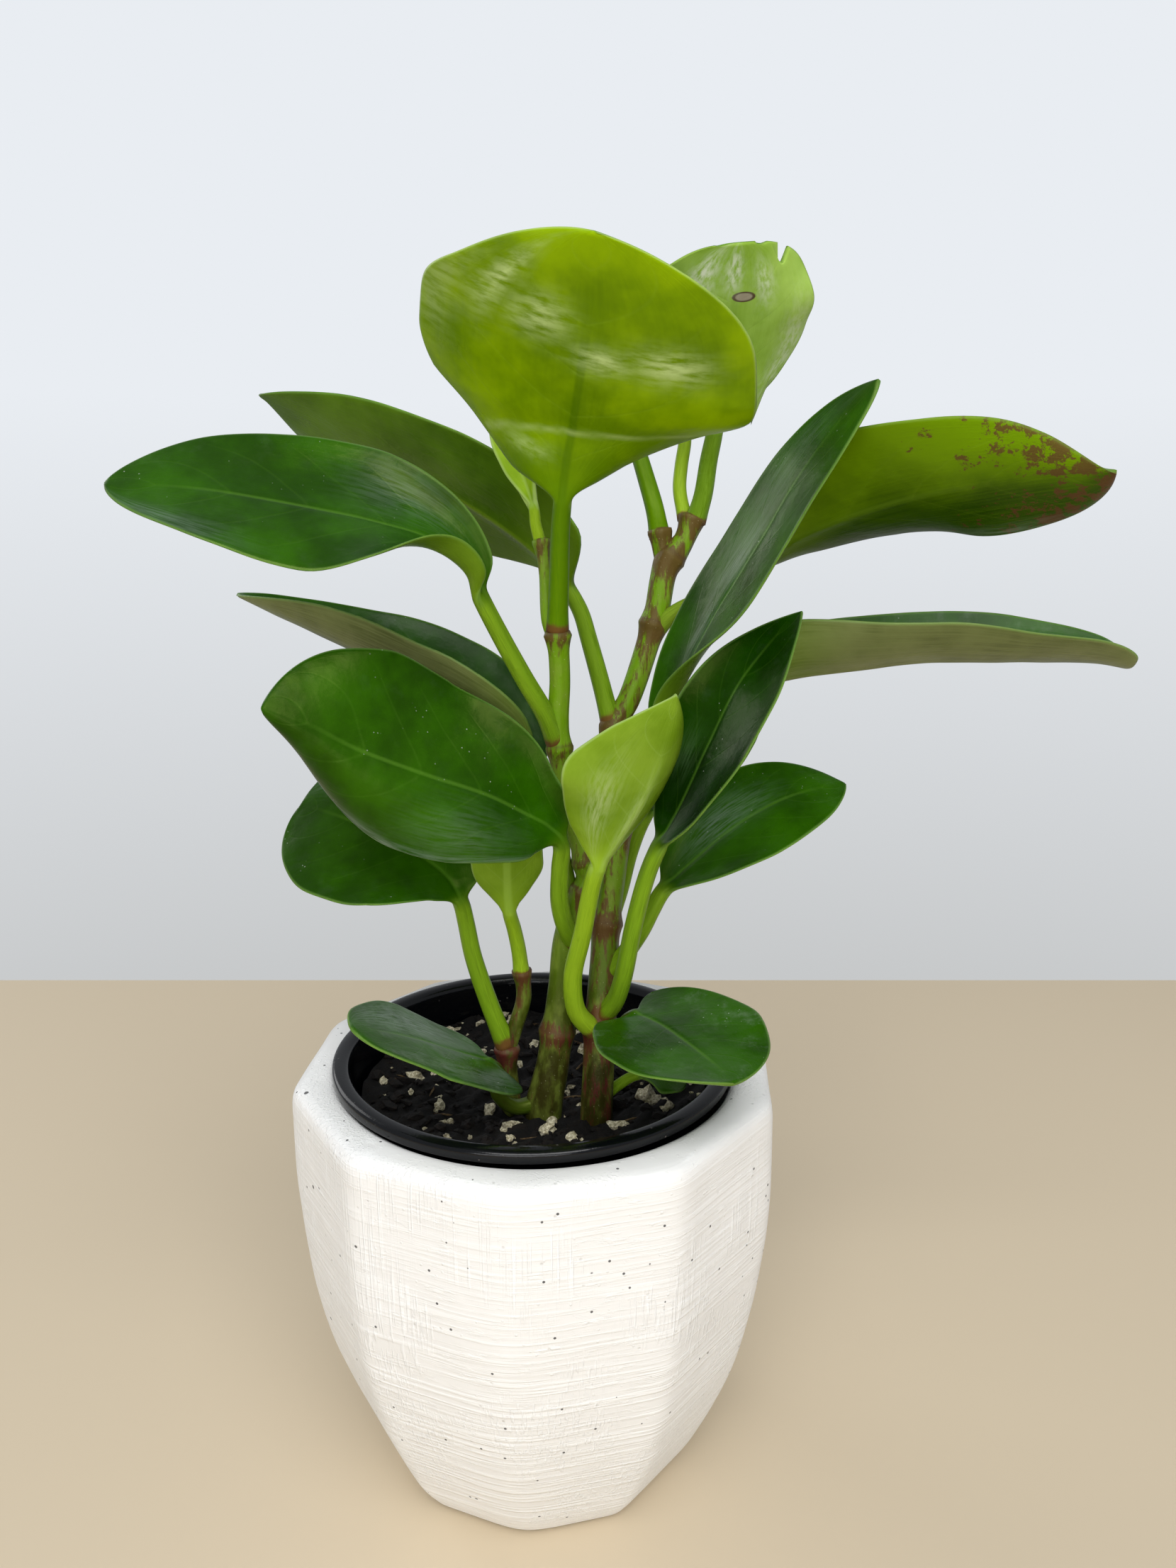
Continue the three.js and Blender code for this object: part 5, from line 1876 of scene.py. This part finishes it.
        midrib=((27, -10.5, 116.5), (31, -10, 116.5), (36, -10, 115.5), (40, -10, 114)),
        face=((0, -3, 9), (2, -3, 9)), cup=(20, 8, 5), waves=(0.4, 1.7, 3.3),
        petiole_radii=(1.6, 1.4),
    ),
    Leaf(
        name="leaf_pale_front", tone=Tone.YOUNG, width=42, shape=(0.5, 0.8, 1.1),
        petiole=(
            (16, -14.5, 130.5), (11, -19.5, 138.5), (10, -22.5, 149), (12.5, -26, 162),
            (14.5, -29, 174),
        ),
        midrib=(
            (16, -30.5, 180), (19.5, -32, 186.5), (25, -34.5, 196), (29, -37, 205.5),
            (31.5, -39, 214.5), (33, -40, 223),
        ),
        face=((-4, 7, 4), (-3, 8, 2)), cup=(60, 20, 15), left_cup=(90, 100, 80), left_reach=0.7,
        waves=(0.4, 1.7, 5.0),
        painted_highlights=(
            HighlightPatch(Face.UNDER, -0.5, 0.35, 0.16, 0.25, 0.45),
            HighlightPatch(Face.UNDER, 0.0, 0.3, 0.1, 0.25, 0.35),
        ),
    ),
    Leaf(
        name="leaf_right_long", tone=Tone.DARK, width=31, shape=(0.5, 0.6, 0.75),
        petiole=((21.8, -1.5, 184), (24, -3.5, 192), (27, -4.5, 199)),
        midrib=(
            (29.5, -4.5, 205), (34.5, -5, 216), (43, -10, 234), (53, -17, 253), (61.5, -22.5, 269),
            (69.5, -26.5, 281), (76.5, -29.5, 289.5),
        ),
        face=((-8, -3, 3), (-7, -4, 6)), cup=(140, 14, 10), left_cup=(40, 16, 10),
        waves=(0.6, 1.5, 0.2),
        painted_highlights=(
            HighlightPatch(Face.UPPER, 0.25, 0.5, 0.22, 0.1, 0.4),
            HighlightPatch(Face.UPPER, 0.15, 0.3, 0.16, 0.1, 0.3),
            HighlightPatch(Face.UPPER, 0.5, 0.7, 0.4, 0.3, 0.12),
        ),
    ),
    Leaf(
        name="leaf_right_back", tone=Tone.SPOTTED, width=49, shape=(0.38, 0.9, 1.3),
        petiole=((31, 9.5, 231), (35.5, 7.5, 236), (44, 7.5, 240.5)),
        midrib=(
            (53, 6.5, 247), (66, 1.5, 256), (80.5, -7.5, 262.5), (97.5, -19, 267), (114, -27, 270),
            (128, -33, 270.5),
        ),
        face=((-3, 8, 6), (-2, 8, 5)), cup=(50, 16, 10), left_shape=(0.68, 0.4, 0.45),
        left_reach=0.76, waves=(1.3, 1.9, 2.6), petiole_radii=(2.1, 2.1),
        painted_highlights=(HighlightPatch(Face.UNDER, 0.95, 0.72, 0.14, 0.2, 0.5),),
    ),
    Leaf(
        name="leaf_right_middle", tone=Tone.DEEP, width=38, shape=(0.45, 0.7, 0.9),
        petiole=(
            (17.3, -13.3, 134.5), (20.5, -17.5, 140.5), (22.5, -21, 148.5), (25, -23.5, 163.5),
            (28, -25, 176.5),
        ),
        midrib=(
            (30.5, -26, 183.5), (36, -26.5, 194.5), (42, -26.5, 208.5), (48.5, -26.5, 222),
            (56, -25.5, 232), (63, -24, 239.5),
        ),
        face=((-8, -4, 4), (-8, -5, 4)), cup=(40, 20, 14), left_cup=(40, 66, 40), left_reach=0.68,
        waves=(0.5, 1.8, 1.5),
        painted_highlights=(HighlightPatch(Face.UPPER, 0.4, 0.35, 0.25, 0.1, 0.4),),
    ),
    Leaf(
        name="leaf_right_level", tone=Tone.OLIVE, width=40, shape=(0.2, 0.3, 0.32),
        petiole=((21.5, 0.5, 190), (29.5, 3, 199), (40.5, 5, 209.5)),
        midrib=(
            (52.5, 5, 217), (65.5, 5, 220.5), (81, 4, 223), (102, 2, 225), (124.5, 0, 225.5),
            (141, -1, 225.2), (150, -2, 223.8),
        ),
        face=((-3, 3, 8), (0, 2, 9)), cup=(90, 36, 30), left_cup=(90, 90, 80), left_reach=1.25,
        waves=(0.5, 1.6, 0.9),
    ),
    Leaf(
        name="leaf_right_lower", tone=Tone.DARK, width=31, shape=(0.5, 0.65, 0.75),
        petiole=((18, -10, 144), (23, -12.5, 151), (27.5, -12.5, 158), (30, -12, 163)),
        midrib=((33, -11, 168), (42, -8.5, 176), (54, -5, 184.5), (66.5, -1, 190), (81, 3, 192.5)),
        face=((-3, -5, 7), (-1, -5, 8)), cup=(40, 12, 8), waves=(0.4, 1.7, 0.9),
        painted_highlights=(HighlightPatch(Face.UPPER, 0.3, 0.4, 0.3, 0.2, 0.35),),
    ),
    Leaf(
        name="leaf_right_hidden", tone=Tone.DARK, width=27, shape=(0.5, 1, 0.6),
        petiole=((18.6, -8, 157), (22, -2, 165), (25, 4, 174)),
        midrib=((29, 9, 182), (36, 14, 190), (44.5, 19, 198), (53, 23, 204.5), (60, 26, 209)),
        face=((-3, -5, 6), (-1, -5, 7)), cup=(40, 12, 8), waves=(0.4, 1.7, 2.6),
    ),
)
# fmt: on


@dataclass(frozen=True)
class SoftBox:
    """Large soft studio lamp, with its places and sizes in metres."""

    name: str
    place: Point
    target: Point
    size: Pair
    power: float

    def build(self) -> bpy.types.Object:
        """Makes the lamp and turns it to its target.

        Returns:
            The new object.
        """
        lamp = bpy.data.lights.new(self.name, "AREA")
        lamp.shape = "RECTANGLE"
        lamp.size, lamp.size_y = self.size
        lamp.energy = self.power
        made = bpy.data.objects.new(self.name, lamp)
        made.location = self.place
        aim = Vector(self.target) - Vector(self.place)
        made.rotation_euler = aim.to_track_quat("-Z", "Y").to_euler()
        bpy.context.scene.collection.objects.link(made)
        return made


@dataclass(frozen=True)
class Studio:
    """Plain pale floor, soft light and the camera that took the photograph, in metres."""

    floor_near: float = -1.6
    floor_far: float = 0.33
    floor_half_width: float = 1.8
    floor_drop: float = 0.0001
    wall_high: str = "e9edf2"
    wall_low: str = "c6c8c9"
    wall_fade: Pair = (-0.38, 0.08)
    room_light: float = 0.5
    camera_place: Point = (0.0138, -0.2960, 0.2635)
    camera_down: float = 13.38
    lens: float = 27.05
    lamps: tuple[SoftBox, ...] = (
        SoftBox("window_front", (0.1, -1.05, 1.45), (0.0, 0.0, 0.12), (1.3, 1.0), 21.0),
        SoftBox("window_low", (-0.1, -1.35, 0.4), (0.0, 0.0, 0.2), (1.2, 0.5), 6.0),
        SoftBox("window_left", (-1.15, 0.95, 0.85), (0.0, 0.0, 0.2), (0.7, 0.9), 4.0),
    )

    def build_floor(self) -> None:
        """Makes the floor, which isn't part of the plant."""
        slab = bmesh.new()
        bmesh.ops.create_grid(slab, x_segments=1, y_segments=1, size=1.0)
        middle = (self.floor_near + self.floor_far) / 2
        half = (self.floor_far - self.floor_near) / 2
        bmesh.ops.scale(slab, verts=slab.verts, vec=(self.floor_half_width, half, 1.0))
        bmesh.ops.translate(slab, verts=slab.verts, vec=(0.0, middle, -self.floor_drop))
        floor = new_object("floor", slab)
        floor.data.materials.append(FloorFinish().build())

    def build_room(self) -> None:
        """Makes the even room light and the pale wall that shows behind the plant."""
        s = Shading(bpy.data.worlds.new("room"))
        direction = s.add("TexCoord", {}).outputs["Generated"]
        height = s.add("SeparateXYZ", {0: direction}).outputs["Z"]
        start, end = self.wall_fade
        rise = s.add("MapRange", {"Value": height, "From Min": start, "From Max": end})
        wall = s.blend(rise.outputs[0], self.wall_low, self.wall_high)
        shown = s.add("Background", {"Color": wall}).outputs[0]
        light = s.add("Background", {"Color": self.wall_high, "Strength": self.room_light})
        ray = s.add("LightPath", {}).outputs["Is Camera Ray"]
        both = s.add("MixShader", {0: ray, 1: light.outputs[0], 2: shown})
        bpy.context.scene.world = s.finish(both.outputs[0], "World")

    def build_camera(self) -> None:
        """Places the camera at the photograph's viewpoint."""
        lens = bpy.data.cameras.new("photo_camera")
        lens.lens = self.lens
        lens.clip_start = 0.01
        camera = bpy.data.objects.new("photo_camera", lens)
        camera.location = self.camera_place
        camera.rotation_euler = (math.radians(90 - self.camera_down), 0.0, 0.0)
        bpy.context.scene.collection.objects.link(camera)
        bpy.context.scene.camera = camera

    def build(self) -> None:
        """Makes the floor, the surroundings, the lamps and the camera."""
        self.build_floor()
        self.build_room()
        for lamp in self.lamps:
            lamp.build()
        self.build_camera()
        bpy.context.scene.view_settings.view_transform = "Standard"


def main() -> None:
    """Builds the pots, the soil, the stems and the leaves in order, and reports each piece."""
    logging.basicConfig(level=logging.INFO, format="%(message)s")
    Studio().build()
    CoverPot().build()
    pot = NurseryPot()
    pot.build()
    feet = tuple(stem.branches[0].route.points[1][:2] for stem in STEMS)
    PottingMix(pot, feet).build()
    stem_skin = StemFinish().build()
    for stem in STEMS:
        stem.build(stem_skin)
    skins = {tone: tone.value.build() for tone in Tone}
    for leaf in LEAVES:
        leaf.build(skins)


if __name__ == "__main__":
    main()
